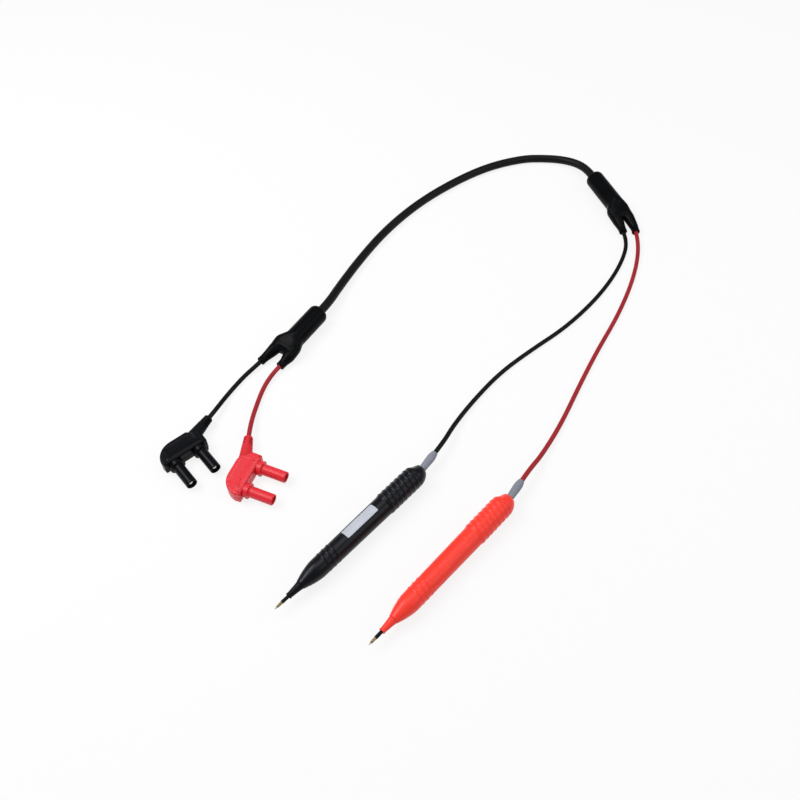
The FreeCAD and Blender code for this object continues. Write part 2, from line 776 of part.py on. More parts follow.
def rear_boot(name, place):
    """The grey strain relief: a flange in the cap, then a swollen sleeve that leans with the lead."""
    body = new_body(name)
    root = S["pen_boot_root_radius"]
    flange_end = cap_end_y - S["cap_end_wall"] - S["fit_gap"]
    flange_start = flange_end - S["pen_boot_flange"]
    flange = S["pen_boot_flange_radius"]
    turned(body, "root", [(0, flange_start), (flange, flange_start), (flange, flange_end),
                          (root, flange_end), (root, cap_end_y), (0, cap_end_y)])
    waist = S["pen_boot_waist_radius"]
    sketch = new_sketch(body, "elbow", shift=(0, cap_end_y, 0))
    half_disc(sketch, waist)
    feature(body, "Revolution", sketch, ReferenceAxis=(sketch, ["V_Axis"]), Midplane=True, Angle=360)
    length = S["pen_boot_length"]
    turned(body, "sleeve", [(0, 0), (waist, 0), (S["pen_boot_belly_radius"], length * 0.65),
                            (S["pen_boot_belly_radius"], length * 0.8),
                            (S["pen_boot_lip_radius"], length), (0, length)],
           shift=(0, cap_end_y, 0), turn=S["pen_boot_tilt"])
    points = pen_lead_points()
    way = (points[-1] - points[-2]).normalize()
    points[-1] = points[-1] + way
    piece = cut_by(name, body, tube(points, lead_bore.value)[0])
    set_place(piece, place)


def pen_lead_end(name, place):
    """The lead inside the pen: its jacket in boot, cap and clamp, then two cores to the barrels."""
    jacket = tube(pen_lead_points(), S["lead_radius"].value)[0]
    core = S["core_radius"].value
    start = clamp_y - S["clamp_margin"]
    inside = start + S["core_start"]
    bend = S["core_bend"]
    sense = tube([vector(-core_aside, inside), vector(-core_aside, start - bend),
                  vector(0, start - bend * 2), vector(0, cup_y + S["fit_gap"])], core)[0]
    source = tube([vector(core_aside, inside), vector(core_aside, start - bend),
                   vector(outer_core_x, start - bend * 2),
                   vector(outer_core_x, barrel_end_y + S["fit_gap"])], core)[0]
    new_shape(name, jacket.fuse([sense, source]).removeSplitter(), place)


def pen(colour, x, y):
    place = (x, y, pen_axis_z, 0)
    near, far = handle(f"{colour}_handle", place)
    if colour == "black":
        label("black_label", place, near, far)
    rear_cap(f"{colour}_rear_cap", place)
    nozzle(f"{colour}_nozzle", place)
    guard_tube(f"{colour}_guard_tube", place)
    outer_contact(f"{colour}_outer_contact", place)
    coil_spring(f"{colour}_outer_spring", place, contact_collar_end_y, spring_room,
                barrel_bore, S["outer_wire"], S["outer_turns"])
    contact_barrel(f"{colour}_contact_barrel", place)
    inner_insulator(f"{colour}_inner_insulator", place)
    centre_plunger(f"{colour}_centre_plunger", place)
    coil_spring(f"{colour}_centre_spring", place, plunger_end_y, S["centre_spring_room"],
                centre_bore, S["centre_wire"], S["centre_turns"])
    centre_barrel(f"{colour}_centre_barrel", place)
    pin_carrier(f"{colour}_pin_carrier", place)
    lead_clamp(f"{colour}_lead_clamp", place)
    pen_lead_end(f"{colour}_pen_lead_end", place)
    rear_boot(f"{colour}_rear_boot", place)


# A double plug in its own frame: the pins point along +Y, the housing's front face is y = 0.
shroud_root_end_y = -(S["plug_wall"] + S["fit_gap"] + S["shroud_root"])
pin_tail_y = shroud_root_end_y - S["pin_tail"]
flange_end_y = S["collar_length"] + S["flange_thickness"]
shroud_end_y = flange_end_y + S["shroud_length"]
pin_end_y = shroud_end_y - S["pin_inset"]
pin_shoulder_y = S["collar_length"] + S["fit_gap"]
basket_y = pin_shoulder_y + S["pin_shoulder"] + S["fit_gap"]
basket_end_y = pin_end_y - S["pin_tip_length"] - S["fit_gap"]
plug_axis_z = S["flange_radius"]
half_spacing = S["plug_spacing"] * 0.5
along_boot = {"shift": (-S["lead_boot_x"], -S["lead_boot_depth"], 0), "turn": S["lead_boot_tilt"] + 90}


def housing_outline(inset):
    """The D-shaped outline of a plug housing, drawn inset from its outside."""
    return [
        (-S["plug_front_near"] + inset, -inset),
        (S["plug_front_far"] - inset, -inset),
        (S["plug_side_half"] - inset, -S["plug_side_depth"]),
        (S["plug_back_start"], -S["plug_back_depth"] + inset),
        (-S["plug_back_end"] + inset * 0.37, -S["plug_back_depth"] + inset),
        (-S["plug_boot_side"] + inset, -S["plug_boot_side_depth"] + inset * 0.46),
    ], {2: (S["plug_back_curve"] - inset, 1)}


def past(start, end, share):
    """The point beyond end, on the line from start, by a share of their distance."""
    return tuple(far + (far - near) * share for near, far in zip(start, end))


def outer_edges(shape, z):
    """The names of a solid's edges that lie wholly at height z."""
    return [f"Edge{number}" for number, edge in enumerate(shape.Edges, start=1)
            if all(abs(vertex.Z - z) < 0.001 for vertex in edge.Vertexes)]


def housing_half(name, place, side):
    """One half of a plug housing: side is 1 for the cover and -1 for the base."""
    body = new_body(name)
    corners, arcs = housing_outline(as_size(0))
    sketch = new_sketch(body, "outline")
    draw_outline(sketch, corners, arcs)
    pad = feature(body, "Pad", sketch, Length=S["plug_half_thickness"], Reversed=side < 0)
    doc.recompute()
    bevel = body.newObject("PartDesign::Chamfer", f"{name}_bevel")
    bevel.Base = (pad, outer_edges(pad.Shape, side * S["plug_half_thickness"].value))
    bevel.Size = S["plug_bevel"].value
    bevel.setExpression("Size", S["plug_bevel"].words)
    body.Tip = bevel
    doc.recompute()
    full = body.Shape.Volume
    corners, arcs = housing_outline(S["plug_wall"])
    sketch = new_sketch(body, "room")
    draw_outline(sketch, corners, arcs)
    feature(body, "Pocket", sketch, Length=S["plug_half_thickness"] - S["plug_floor"],
            Reversed=side > 0)
    doc.recompute()
    if body.Shape.Volume > 0.7 * full:
        raise ValueError(f"{name} isn't hollow: {body.Shape.Volume:.0f} of {full:.0f}")
    neck = S["shroud_neck_radius"] + S["fit_gap"]
    depth = -2 * S["plug_wall"]
    over = S["plug_wall"]
    for word, x in (("left", -half_spacing), ("right", half_spacing)):
        turned(body, f"{word}_hole", [(0, depth), (neck, depth), (neck, over), (0, over)],
               cut=True, shift=(x, 0, 0))
    gap = S["fit_gap"]
    root, neck = S["lead_boot_root_radius"] + gap, S["lead_boot_neck_radius"] + gap
    root_end = S["lead_boot_root"] + gap
    turned(body, "boot_seat", [(0, -gap), (root, -gap), (root, root_end), (neck, root_end),
                               (neck, S["lead_boot_neck"]), (0, S["lead_boot_neck"])],
           cut=True, **along_boot)
    body.Placement = place


def shroud(name, place):
    """A hollow sleeve with a collar and a thin ring, held in the housing by its root."""
    body = new_body(name)
    bore = S["pin_stem_radius"] + S["fit_gap"]
    gap = S["fit_gap"]
    neck_y = -(S["plug_wall"] + gap)
    turned(body, "sleeve", [
        (bore, shroud_root_end_y), (S["shroud_root_radius"], shroud_root_end_y),
        (S["shroud_root_radius"], neck_y), (S["shroud_neck_radius"], neck_y),
        (S["shroud_neck_radius"], gap), (S["collar_radius"], gap),
        (S["collar_radius"], S["collar_length"]), (S["flange_radius"], S["collar_length"]),
        (S["flange_radius"], flange_end_y), (S["shroud_radius"], flange_end_y),
        (S["shroud_radius"], shroud_end_y), (S["shroud_bore"], shroud_end_y),
        (S["shroud_bore"], S["collar_length"]), (bore, S["collar_length"])])
    body.Placement = place


def contact_pin(name, place):
    """A turned pin: solder cup, stem through the shroud's root, shoulder, neck and round tip."""
    body = new_body(name)
    shoulder_end = pin_shoulder_y + S["pin_shoulder"]
    tip = S["pin_tip_radius"]
    tip_y = pin_end_y - S["pin_tip_length"]
    cup_floor = pin_tail_y + S["pin_cup_depth"]
    turned(body, "pin", [
        (S["pin_cup_radius"], pin_tail_y), (S["pin_stem_radius"], pin_tail_y),
        (S["pin_stem_radius"], pin_shoulder_y), (tip, pin_shoulder_y), (tip, shoulder_end),
        (S["pin_neck_radius"], shoulder_end), (S["pin_neck_radius"], tip_y), (tip, tip_y),
        (tip, pin_end_y - tip * 0.5), (tip * 0.5, pin_end_y), (0, pin_end_y), (0, cup_floor),
        (S["pin_cup_radius"], cup_floor)], arcs={8: (tip * 0.55, -1)})
    body.Placement = place


def basket(name):
    """A sprung basket round the pin's neck: two bands joined by bowed leaves."""
    body = new_body(name)
    PIECES.remove(body)
    inner = S["pin_neck_radius"] + S["fit_gap"]
    outer = inner + S["basket_wall"]
    first = basket_y + S["basket_band"]
    last = basket_end_y - S["basket_band"]
    rise = S["basket_bulge"] - outer
    half = (last - first) * 0.5
    bow = (half * half + rise * rise) / (rise * 2)
    turned(body, "leaf", [(inner, basket_y), (outer, basket_y), (outer, first), (outer, last),
                          (outer, basket_end_y), (inner, basket_end_y), (inner, last),
                          (inner, first)], arcs={2: (bow, -1), 6: (bow, 1)})
    edge = S["basket_slot"] * 0.5
    sketch = new_sketch(body, "slot")
    draw_outline(sketch, [(-edge, first - edge), (edge, first - edge), (edge, last + edge),
                          (-edge, last + edge)])
    slot = feature(body, "Pocket", sketch, Midplane=True, Length=S["basket_bulge"] * 3)
    repeated(body, "PolarPattern", slot, "Y_Axis", S["basket_slots"], angle=120)
    return body


def lead_boot(name, place):
    """A plug's strain relief: a root and a neck in the housing, then a sleeve with cut slots.

    The sleeve starts on the housing's slanted wall, so its end is cut along that wall.
    """
    body = new_body(name)
    outer = S["lead_boot_sleeve_radius"]
    turned(body, "sleeve", [(lead_bore, S["lead_boot_sleeve_start"]), (outer, S["lead_boot_sleeve_start"]),
                            (S["lead_boot_lip_radius"], S["lead_boot_length"]),
                            (lead_bore, S["lead_boot_length"])], **along_boot)
    corners = housing_outline(-S["fit_gap"])[0]
    low = past(corners[5], corners[4], 0.5)
    high = past(corners[4], corners[5], 0.3)
    sketch = new_sketch(body, "seam")
    draw_outline(sketch, [low, high, (high[0], S["collar_length"]), (low[0], S["collar_length"])])
    feature(body, "Pocket", sketch, Midplane=True, Length=outer * 3)
    root, neck = S["lead_boot_root_radius"], S["lead_boot_neck_radius"]
    turned(body, "root", [(lead_bore, 0), (root, 0), (root, S["lead_boot_root"]),
                          (neck, S["lead_boot_root"]), (neck, S["lead_boot_neck"]),
                          (lead_bore, S["lead_boot_neck"])], **along_boot)
    inner = lead_bore + S["boot_slot_floor"]
    start = S["boot_slot_first"]
    end = start + S["boot_slot_width"]
    for word, side in (("left", -1), ("right", 1)):
        shift = S["boot_slot_pitch"] * 0.5 if side < 0 else as_size(0)
        slot = turned(body, f"{word}_slot", [(inner * side, start + shift), (outer * side, start + shift),
                                             (outer * side, end + shift), (inner * side, end + shift)],
                      cut=True, angle=S["boot_slot_angle"], **along_boot)
        repeated(body, "LinearPattern", slot, "own", S["boot_slot_count"],
                 length=S["boot_slot_pitch"] * (S["boot_slot_count"] - 1))
    body.Placement = place


def plug_lead_end(name, place):
    """The lead inside a plug: its jacket in the boot, then a core to each pin's cup."""
    base = vector(-S["lead_boot_x"], -S["lead_boot_depth"])
    turn = S["lead_boot_tilt"] + 90
    jacket_end = tilted(base, -S["jacket_inset"], turn)
    exit_point = tilted(base, S["lead_boot_length"], turn)
    jacket = tube([exit_point, jacket_end], S["lead_radius"].value)[0]
    core = S["core_radius"].value
    in_cup = pin_tail_y + S["core_in_cup"]
    hidden = tilted(base, S["jacket_inset"], turn) - vector(0, core_aside)
    near = tube([vector(-half_spacing, -S["core_corner_y"]), vector(-half_spacing, in_cup)], core)[0]
    far = tube([hidden, vector(-half_spacing * 0.6, -S["core_corner_y"] - S["core_radius"] * 2.5),
                vector(half_spacing, -S["core_corner_y"]), vector(half_spacing, in_cup)], core)[0]
    new_shape(name, jacket.fuse([near, far]).removeSplitter()).Placement = place


def laid(x, y, height=0):
    """A point of the photographed layout, in the row's frame."""
    return FreeCAD.Vector(x, y, height) * S["layout_unit"].value


def laid_place(x, y, axis_height, turn):
    """A place in the layout, with the piece's axis at a height and turned about Z."""
    rotation = FreeCAD.Rotation(FreeCAD.Vector(0, 0, 1), turn)
    return FreeCAD.Placement(laid(x, y) + vector(0, 0, axis_height), rotation)


def moved(place, x, y, turn=0):
    rotation = FreeCAD.Rotation(FreeCAD.Vector(0, 0, 1), as_size(turn).value)
    return place.multiply(FreeCAD.Placement(vector(x, y), rotation))


def lead_boot_place(place):
    return moved(place, -S["lead_boot_x"], -S["lead_boot_depth"], S["lead_boot_tilt"] + 90)


def double_plug(colour, place):
    housing_half(f"{colour}_plug_base", place, -1)
    housing_half(f"{colour}_plug_cover", place, 1)
    baskets = []
    for letter, x in (("a", half_spacing), ("b", -half_spacing)):
        at_pin = moved(place, x, 0)
        shroud(f"{colour}_shroud_{letter}", at_pin)
        contact_pin(f"{colour}_pin_{letter}", at_pin)
        baskets.append(basket(f"{colour}_basket_{letter}"))
        baskets[-1].Placement = at_pin
    group = doc.addObject("Part::Compound", f"{colour}_lantern_springs")
    group.Label = f"{colour}_lantern_springs"
    group.Links = baskets
    PIECES.append(group)
    lead_boot(f"{colour}_lead_boot", place)
    plug_lead_end(f"{colour}_plug_lead_end", place)


# A breakout boot in its own frame: the cable enters at y = 0, the legs point along +Y.


def boot_legs(word):
    """Each leg's x at the crotch, its end's x and y, and the lean of its end towards +X."""
    parts = ("crotch_x", "end_x", "end_y", "lean")
    return {colour: [S[f"{word}_{colour}_{part}"] for part in parts] for colour in ("black", "red")}


def leg_points(tube_y, crotch_y, leg):
    """Centre points of a leg, from inside the tube to its end face."""
    crotch_x, end_x, end_y, lean = leg
    side = 1 if crotch_x.value > 0 else -1
    start = vector(side * S["leg_root_x"], tube_y - S["leg_root_inset"])
    middle = vector(crotch_x, crotch_y, -S["palm_drop"])
    end = vector(end_x, end_y, -S["leg_drop"])
    return [start, middle, tilted(end, -S["leg_straight"], -lean), end]


def breakout_boot(name, place, tube_y, crotch_y, legs):
    """A moulded boot: one wide tube for the cable that flattens and splits into two legs."""
    body = new_body(name)
    radius = S["breakout_radius"]
    palm_y = (tube_y + crotch_y) * 0.5
    hold = S["breakout_cable_hold"]
    bore = S["cable_radius"] + S["fit_gap"]
    room = S["breakout_cavity_radius"]
    room_end = tube_y - S["leg_root_inset"]
    turned(body, "tube", [(0, 0), (S["breakout_mouth_radius"], 0), (radius, S["breakout_mouth"]),
                          (radius, tube_y), (S["breakout_palm_radius"], palm_y), (0, palm_y)])
    for colour, leg in legs.items():
        start, middle, late, end = leg_points(tube_y, crotch_y, leg)
        rings = []
        lean = leg[3]
        shoulder = vector(leg[0], crotch_y - S["leg_shoulder"], -S["shoulder_drop"])
        for number, (centre, size, turn) in enumerate((
                (start, S["leg_root_radius"], 0), (shoulder, S["leg_radius"], 0),
                (middle, S["leg_radius"], lean * 0.4),
                (late, S["leg_late_radius"], lean), (end, S["leg_end_radius"], lean))):
            sketch = new_sketch(body, f"{colour}_ring_{number}", plane="XZ_Plane",
                                shift=(centre.x, centre.z, -centre.y), axis=(0, -1, 0), turn=turn)
            rings.append(draw_circle(sketch, size))
        leg_solid = body.newObject("PartDesign::AdditiveLoft", f"{name}_{colour}_leg")
        leg_solid.Profile = (rings[0], [""])
        leg_solid.Sections = [(ring, [""]) for ring in rings[1:]]
        body.Tip = leg_solid
    black_x, red_x = (legs[colour][0] for colour in ("black", "red"))
    sketch = new_sketch(body, "web", shift=(0, 0, -S["web_drop"]))
    draw_outline(sketch, [(-S["web_half"], room_end), (S["web_half"], room_end),
                          (black_x, crotch_y), (red_x, crotch_y)], arcs={2: (S["web_notch"], 1)})
    feature(body, "Pad", sketch, Midplane=True, Length=S["web_thickness"])
    turned(body, "room", [(0, -1), (bore, -1), (bore, hold), (room, hold), (room, room_end),
                          (0, room_end)], cut=True)
    tools = []
    for leg in legs.values():
        points = leg_points(tube_y, crotch_y, leg)
        way = (points[-1] - points[-2]).normalize()
        back = (points[1] - points[0]).normalize()
        points[-1] = points[-1] + way
        points[0] = points[0] - back
        tools.append(tube(points, lead_bore.value)[0])
    piece = cut_by(name, body, tools[0].fuse(tools[1]))
    piece.Placement = place


def boot_wiring(name, place, tube_y, crotch_y, legs):
    """The jackets' ends in a breakout boot and the four cores that join them."""
    hold = S["breakout_cable_hold"]
    cable = tube([vector(0, 0), vector(0, hold)], S["cable_radius"].value)[0]
    parts = []
    for leg in legs.values():
        parts.append(tube(leg_points(tube_y, crotch_y, leg), S["lead_radius"].value)[0])
    for start, end in core_lines(tube_y):
        parts.append(tube([start, end], S["core_radius"].value)[0])
    new_shape(name, cable.fuse(parts).removeSplitter()).Placement = place


def core_lines(tube_y):
    """The four straight cores between the cable's end and the leads' ends."""
    lines = []
    sink = S["core_start"]
    for side in (-1, 1):
        for level in (-1, 1):
            start = vector(side * S["core_spread"], S["breakout_cable_hold"] - sink,
                           level * S["core_spread"])
            end = vector(side * S["leg_root_x"], tube_y - S["leg_root_inset"] + sink,
                         level * S["core_close"])
            lines.append((start, end))
    return lines


def splice_sleeves(name, place, tube_y):
    """Four crimped sleeves, one at the middle of each core."""
    sleeves = []
    length = S["sleeve_length"].value
    bore = S["core_radius"].value + S["fit_gap"].value
    for start, end in core_lines(tube_y):
        way = (end - start).normalize()
        base = (start + end) * 0.5 - way * (length / 2)
        outside = Part.makeCylinder(S["sleeve_radius"].value, length, base, way)
        sleeves.append(outside.cut(Part.makeCylinder(bore, length, base, way)))
    new_shape(name, Part.makeCompound(sleeves)).Placement = place


def exit_point(place, point, way):
    """Where a cord starts in the row's frame, and the way it leaves."""
    return place.multVec(point), place.Rotation.multVec(way)


def leg_exit(place, tube_y, crotch_y, leg):
    points = leg_points(tube_y, crotch_y, leg)
    way = points[-1] - points[-2]
    return exit_point(place, points[-1], way.normalize())


def pen_exit(x, y):
    points = pen_lead_points()
    place = FreeCAD.Placement(vector(x, y, pen_axis_z), FreeCAD.Rotation())
    return exit_point(place, points[-1], (points[-1] - points[-2]).normalize())


def plug_exit(place):
    at_boot = lead_boot_place(place)
    return exit_point(at_boot, vector(0, S["lead_boot_length"]), FreeCAD.Vector(0, 1, 0))


def cord(name, start, end, first, last, route, radius):
    """A free cord between two exits; first and last are how far it runs straight out of them.

    route gives (x, y) of the layout, or (x, y, lift) where the cord is lifted off the surface.
    """
    unit = S["layout_unit"].value
    lying = vector(0, 0, radius)
    points = [start[0], start[0] + start[1] * first * unit]
    points += [laid(*point) + lying for point in route]
    points += [end[0] + end[1] * last * unit, end[0]]
    solid, length, radii = tube(points, radius.value)
    new_shape(name, solid)
    print(f"{name}: {length:.1f} mm, radii", ", ".join(f"{bend:.0f}" for bend in radii))
    rounded = [tuple(round(part, 2) for part in point) for point in points]
    print(f"{name} points: {rounded}")


pen("black", -pen_x, black_pen_y)
pen("red", pen_x, red_pen_y)

black_plug = laid_place(-158.1, -44.8, plug_axis_z, -97.3)
red_plug = laid_place(-111.4, -26.3, plug_axis_z, -69.5)
double_plug("black", black_plug)
double_plug("red", red_plug)
plug_end = laid_place(-185.5, 111.3, S["breakout_radius"], -170.25)
pen_end = laid_place(-120.6, 392.8, S["breakout_radius"], -116.5)
leg_exits = {}
for word, place in (("plug_end", plug_end), ("pen_end", pen_end)):
    tube_y = S[f"{word}_tube"]
    crotch_y = S[f"{word}_crotch"]
    legs = boot_legs(word)
    for colour, leg in legs.items():
        leg_exits[word, colour] = leg_exit(place, tube_y, crotch_y, leg)
    breakout_boot(f"{word}_breakout_boot", place, tube_y, crotch_y, legs)
    boot_wiring(f"{word}_wiring", place, tube_y, crotch_y, legs)
    splice_sleeves(f"{word}_splice_sleeves", place, tube_y)

back = FreeCAD.Vector(0, -1, 0)
mouth = FreeCAD.Vector(0, 0, 0)

cord("main_cable", exit_point(pen_end, mouth, back), exit_point(plug_end, mouth, back), 11.0, 12.0, [
    (-143.8, 400.3, 2.9), (-158.0, 397.5, 1.0), (-171.5, 389.3), (-186.5, 375.0), (-203.0, 344.0),
    (-212.5, 305.0), (-217.0, 262.0), (-214.5, 218.0), (-206.0, 177.0), (-195.0, 141.0, 1.5),
], S["cable_radius"])

cord("black_pen_lead", pen_exit(-pen_x, black_pen_y), leg_exits["pen_end", "black"], 12.0, 12.0, [
    (-38.5, 101.5, 2.5), (-43.0, 128.0), (-45.0, 163.0), (-41.0, 198.0),
    (-35.5, 231.5), (-34.5, 267.0), (-37.5, 300.0), (-44.0, 328.0, 0.3),
], S["lead_radius"])

cord("red_pen_lead", pen_exit(pen_x, red_pen_y), leg_exits["pen_end", "red"], 12.0, 12.0, [
    (23.5, 124.0, 2.5), (17.0, 157.0), (6.0, 196.0), (-3.4, 233.0),
    (-11.0, 269.5), (-21.5, 305.0), (-33.0, 333.0, 0.3),
], S["lead_radius"])

cord("black_plug_lead", leg_exits["plug_end", "black"], plug_exit(black_plug), 7.0, 9.0,
     [(-185.0, 29.5, 0.1), (-180.5, 9.5, 0.7)], S["lead_radius"])

cord("red_plug_lead", leg_exits["plug_end", "red"], plug_exit(red_plug), 7.0, 9.0,
     [(-166.5, 33.0, 0.1), (-154.5, 13.5, 0.7)], S["lead_radius"])

doc.recompute()
for item in doc.Objects:
    if "Invalid" in item.State or "Error" in item.State:
        raise ValueError(f"{item.Name} is {item.State}")
for piece in PIECES:
    if piece.Shape.isNull() or not piece.Shape.isValid() or not piece.Shape.Solids:
        raise ValueError(f"{piece.Label} has no valid shape")

os.makedirs("parts", exist_ok=True)
for piece in PIECES:
    piece.Shape.exportStep(f"parts/{piece.Label}.step")
print(f"{len(PIECES)} pieces")
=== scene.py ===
import bpy
import json
import math
import numpy as np
from mathutils import Euler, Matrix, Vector

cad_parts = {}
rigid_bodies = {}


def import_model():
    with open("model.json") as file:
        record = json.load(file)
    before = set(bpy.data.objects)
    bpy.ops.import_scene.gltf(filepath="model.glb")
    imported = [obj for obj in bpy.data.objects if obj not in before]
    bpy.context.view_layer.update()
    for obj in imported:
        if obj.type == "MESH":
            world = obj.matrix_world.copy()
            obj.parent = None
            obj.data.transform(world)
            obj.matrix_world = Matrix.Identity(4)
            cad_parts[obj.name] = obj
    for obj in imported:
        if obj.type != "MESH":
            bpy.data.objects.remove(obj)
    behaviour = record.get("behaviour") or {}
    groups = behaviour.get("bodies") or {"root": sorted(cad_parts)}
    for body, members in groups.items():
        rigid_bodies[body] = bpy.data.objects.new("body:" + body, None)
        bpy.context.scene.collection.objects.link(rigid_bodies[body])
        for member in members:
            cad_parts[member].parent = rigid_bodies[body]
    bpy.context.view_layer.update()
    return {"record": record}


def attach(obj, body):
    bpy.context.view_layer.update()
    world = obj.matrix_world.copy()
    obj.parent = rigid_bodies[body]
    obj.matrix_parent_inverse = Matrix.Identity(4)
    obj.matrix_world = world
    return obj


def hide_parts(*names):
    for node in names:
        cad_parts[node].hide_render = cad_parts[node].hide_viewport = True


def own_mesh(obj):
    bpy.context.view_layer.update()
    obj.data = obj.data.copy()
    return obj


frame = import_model()


MM = 0.001
TURN = 2 * math.pi
ROOT = "lead_set"

# Camera: the photograph's view, from above and behind the plugs.
CAMERA_PLACE = (0.16215, -0.17361, 0.50140)
CAMERA_HEADING = 132.58
CAMERA_PITCH = 54.0
CAMERA_LENS = 37.575

camera_data = bpy.data.cameras.new("Camera")
camera_data.lens = CAMERA_LENS
camera_data.sensor_width = 36.0
camera_data.clip_start = 0.01
camera = bpy.data.objects.new("Camera", camera_data)
bpy.context.scene.collection.objects.link(camera)
camera.location = CAMERA_PLACE
camera.rotation_euler = Euler((math.radians(90 - CAMERA_PITCH), 0, math.radians(CAMERA_HEADING - 90)), "XYZ")
bpy.context.scene.camera = camera


# ---- materials
def socket(kind, name):
    return next(s for s in kind if s.name == name)


class Finish:
    """A node material with one Principled shader and short helpers for its pattern nodes."""

    def __init__(self, name):
        self.material = bpy.data.materials.new(name)
        self.material.use_nodes = True
        self.tree = self.material.node_tree
        self.shader = self.tree.nodes["Principled BSDF"]
        coordinates = self.node("ShaderNodeTexCoord")
        self.object_point = coordinates.outputs["Object"]

    def node(self, kind, **settings):
        made = self.tree.nodes.new(kind)
        for name, value in settings.items():
            setattr(made, name, value)
        return made

    def link(self, start, end):
        self.tree.links.new(start, end)

    def stretched(self, x, y, z):
        mapping = self.node("ShaderNodeMapping")
        mapping.inputs["Scale"].default_value = (x, y, z)
        self.link(self.object_point, mapping.inputs["Vector"])
        return mapping.outputs["Vector"]

    def noise(self, scale, detail=3.0, roughness=0.5, vector=None):
        made = self.node("ShaderNodeTexNoise")
        made.inputs["Scale"].default_value = scale
        made.inputs["Detail"].default_value = detail
        made.inputs["Roughness"].default_value = roughness
        self.link(vector or self.object_point, made.inputs["Vector"])
        return made.outputs["Fac"]

    def spread(self, value, low, high, start=0.3, end=0.7):
        made = self.node("ShaderNodeMapRange")
        made.inputs["From Min"].default_value = start
        made.inputs["From Max"].default_value = end
        made.inputs["To Min"].default_value = low
        made.inputs["To Max"].default_value = high
        self.link(value, made.inputs["Value"])
        return made.outputs["Result"]

    def mix(self, factor, first, second):
        made = self.node("ShaderNodeMix", data_type="RGBA")
        self.link(factor, socket(made.inputs, "Factor"))
        made.inputs[6].default_value = (*first, 1)
        made.inputs[7].default_value = (*second, 1)
        return made.outputs[2]

    def bump(self, height, strength, distance, under=None):
        made = self.node("ShaderNodeBump")
        made.inputs["Strength"].default_value = strength
        made.inputs["Distance"].default_value = distance
        self.link(height, made.inputs["Height"])
        if under:
            self.link(under, made.inputs["Normal"])
        return made.outputs["Normal"]

    def finish(self, colour, roughness, normal):
        for value, name in ((colour, "Base Color"), (roughness, "Roughness"), (normal, "Normal")):
            self.link(value, self.shader.inputs[name])
        return self.material


def shade(colour, amount):
    return tuple(min(1.0, part * amount) for part in colour)


def moulding(name, colour, rough, grain, depth, mottle=0.12, shine=0.2):
    """Moulded plastic or rubber: fine spark-eroded grain, slow flow marks and uneven sheen."""
    made = Finish(name)
    flow = made.noise(60, 4)
    tint = made.mix(made.spread(flow, 0, 1), shade(colour, 1 - mottle), shade(colour, 1 + mottle))
    sheen = made.spread(made.noise(140, 5, 0.65), rough - 0.06, rough + 0.08)
    fine = made.noise(grain, 2, 0.6)
    normal = made.bump(fine, 0.35, depth, made.bump(flow, 0.2, depth * 2))
    made.shader.inputs["Specular IOR Level"].default_value = shine
    return made.finish(tint, sheen, normal)


def plated(name, colour, rough):
    """Plated metal: turning marks round Y, fine scratches and slow tarnish."""
    made = Finish(name)
    rings = made.noise(900, 2, 0.5, made.stretched(0.02, 6.0, 0.02))
    tarnish = made.noise(300, 4)
    tint = made.mix(made.spread(tarnish, 0, 1), shade(colour, 0.82), shade(colour, 1.06))
    sheen = made.spread(made.noise(1500, 3), rough - 0.05, rough + 0.1)
    normal = made.bump(rings, 0.15, 0.00001)
    made.shader.inputs["Metallic"].default_value = 1.0
    return made.finish(tint, sheen, normal)


# Each finish: colour, roughness, grain, depth of grain, then how uneven the colour is and how
# strongly the surface mirrors. The nearly black colours read as the photo's blacks.
FINISHES = {
    "black_grip": moulding("black pen plastic", (0.0032, 0.0038, 0.007), 0.28, 2600, 0.00001, 0.12, 0.2),
    "red_grip": moulding("red pen plastic", (0.98, 0.046, 0.028), 0.34, 2600, 0.00001, 0.04, 0.3),
    "black_moulding": moulding("black nozzle plastic", (0.004, 0.0043, 0.0058), 0.36, 3000, 0.00001,
                               0.12, 0.12),
    "black_plug_plastic": moulding("black plug plastic", (0.0026, 0.003, 0.0046), 0.26, 2200, 0.00001,
                                   0.12, 0.1),
    "red_plug_plastic": moulding("red plug plastic", (0.76, 0.026, 0.04), 0.28, 2200, 0.000005,
                                 0.04, 0.34),
    "black_plug_rubber": moulding("black boot rubber", (0.0034, 0.0038, 0.0052), 0.42, 2000, 0.00002,
                                  0.12, 0.08),
    "red_plug_rubber": moulding("red boot rubber", (0.66, 0.024, 0.034), 0.5, 2000, 0.00002, 0.06),
    "boot_rubber": moulding("breakout boot rubber", (0.0024, 0.0027, 0.0034), 0.3, 1600, 0.00001,
                            0.12, 0.05),
    "grey_rubber": moulding("grey boot rubber", (0.23, 0.25, 0.3), 0.5, 1800, 0.00002, 0.05),
    "black_jacket": moulding("black lead jacket", (0.0034, 0.0036, 0.0046), 0.4, 1500, 0.00002, 0.12, 0.12),
    "red_jacket": moulding("red lead jacket", (0.36, 0.016, 0.023), 0.42, 1500, 0.00002, 0.08),
    "cable_jacket": moulding("black cable jacket", (0.0042, 0.0043, 0.0052), 0.42, 1300, 0.00002,
                             0.12, 0.14),
    "natural_plastic": moulding("natural nylon", (0.72, 0.7, 0.62), 0.45, 2000, 0.00002, 0.05, 0.5),
    "gold_plate": plated("gold plate", (0.3, 0.235, 0.1), 0.3),
    "silver_plate": plated("silver plate", (0.74, 0.73, 0.71), 0.2),
    "nickel_plate": plated("nickel plate", (0.62, 0.6, 0.55), 0.22),
    "spring_steel": plated("spring steel", (0.45, 0.45, 0.45), 0.3),
    "clamp_metal": plated("tinned ferrule", (0.5, 0.49, 0.46), 0.38),
    "label_film": moulding("label film", (0.5, 0.53, 0.6), 0.34, 900, 0.000005, 0.05, 0.5),
}

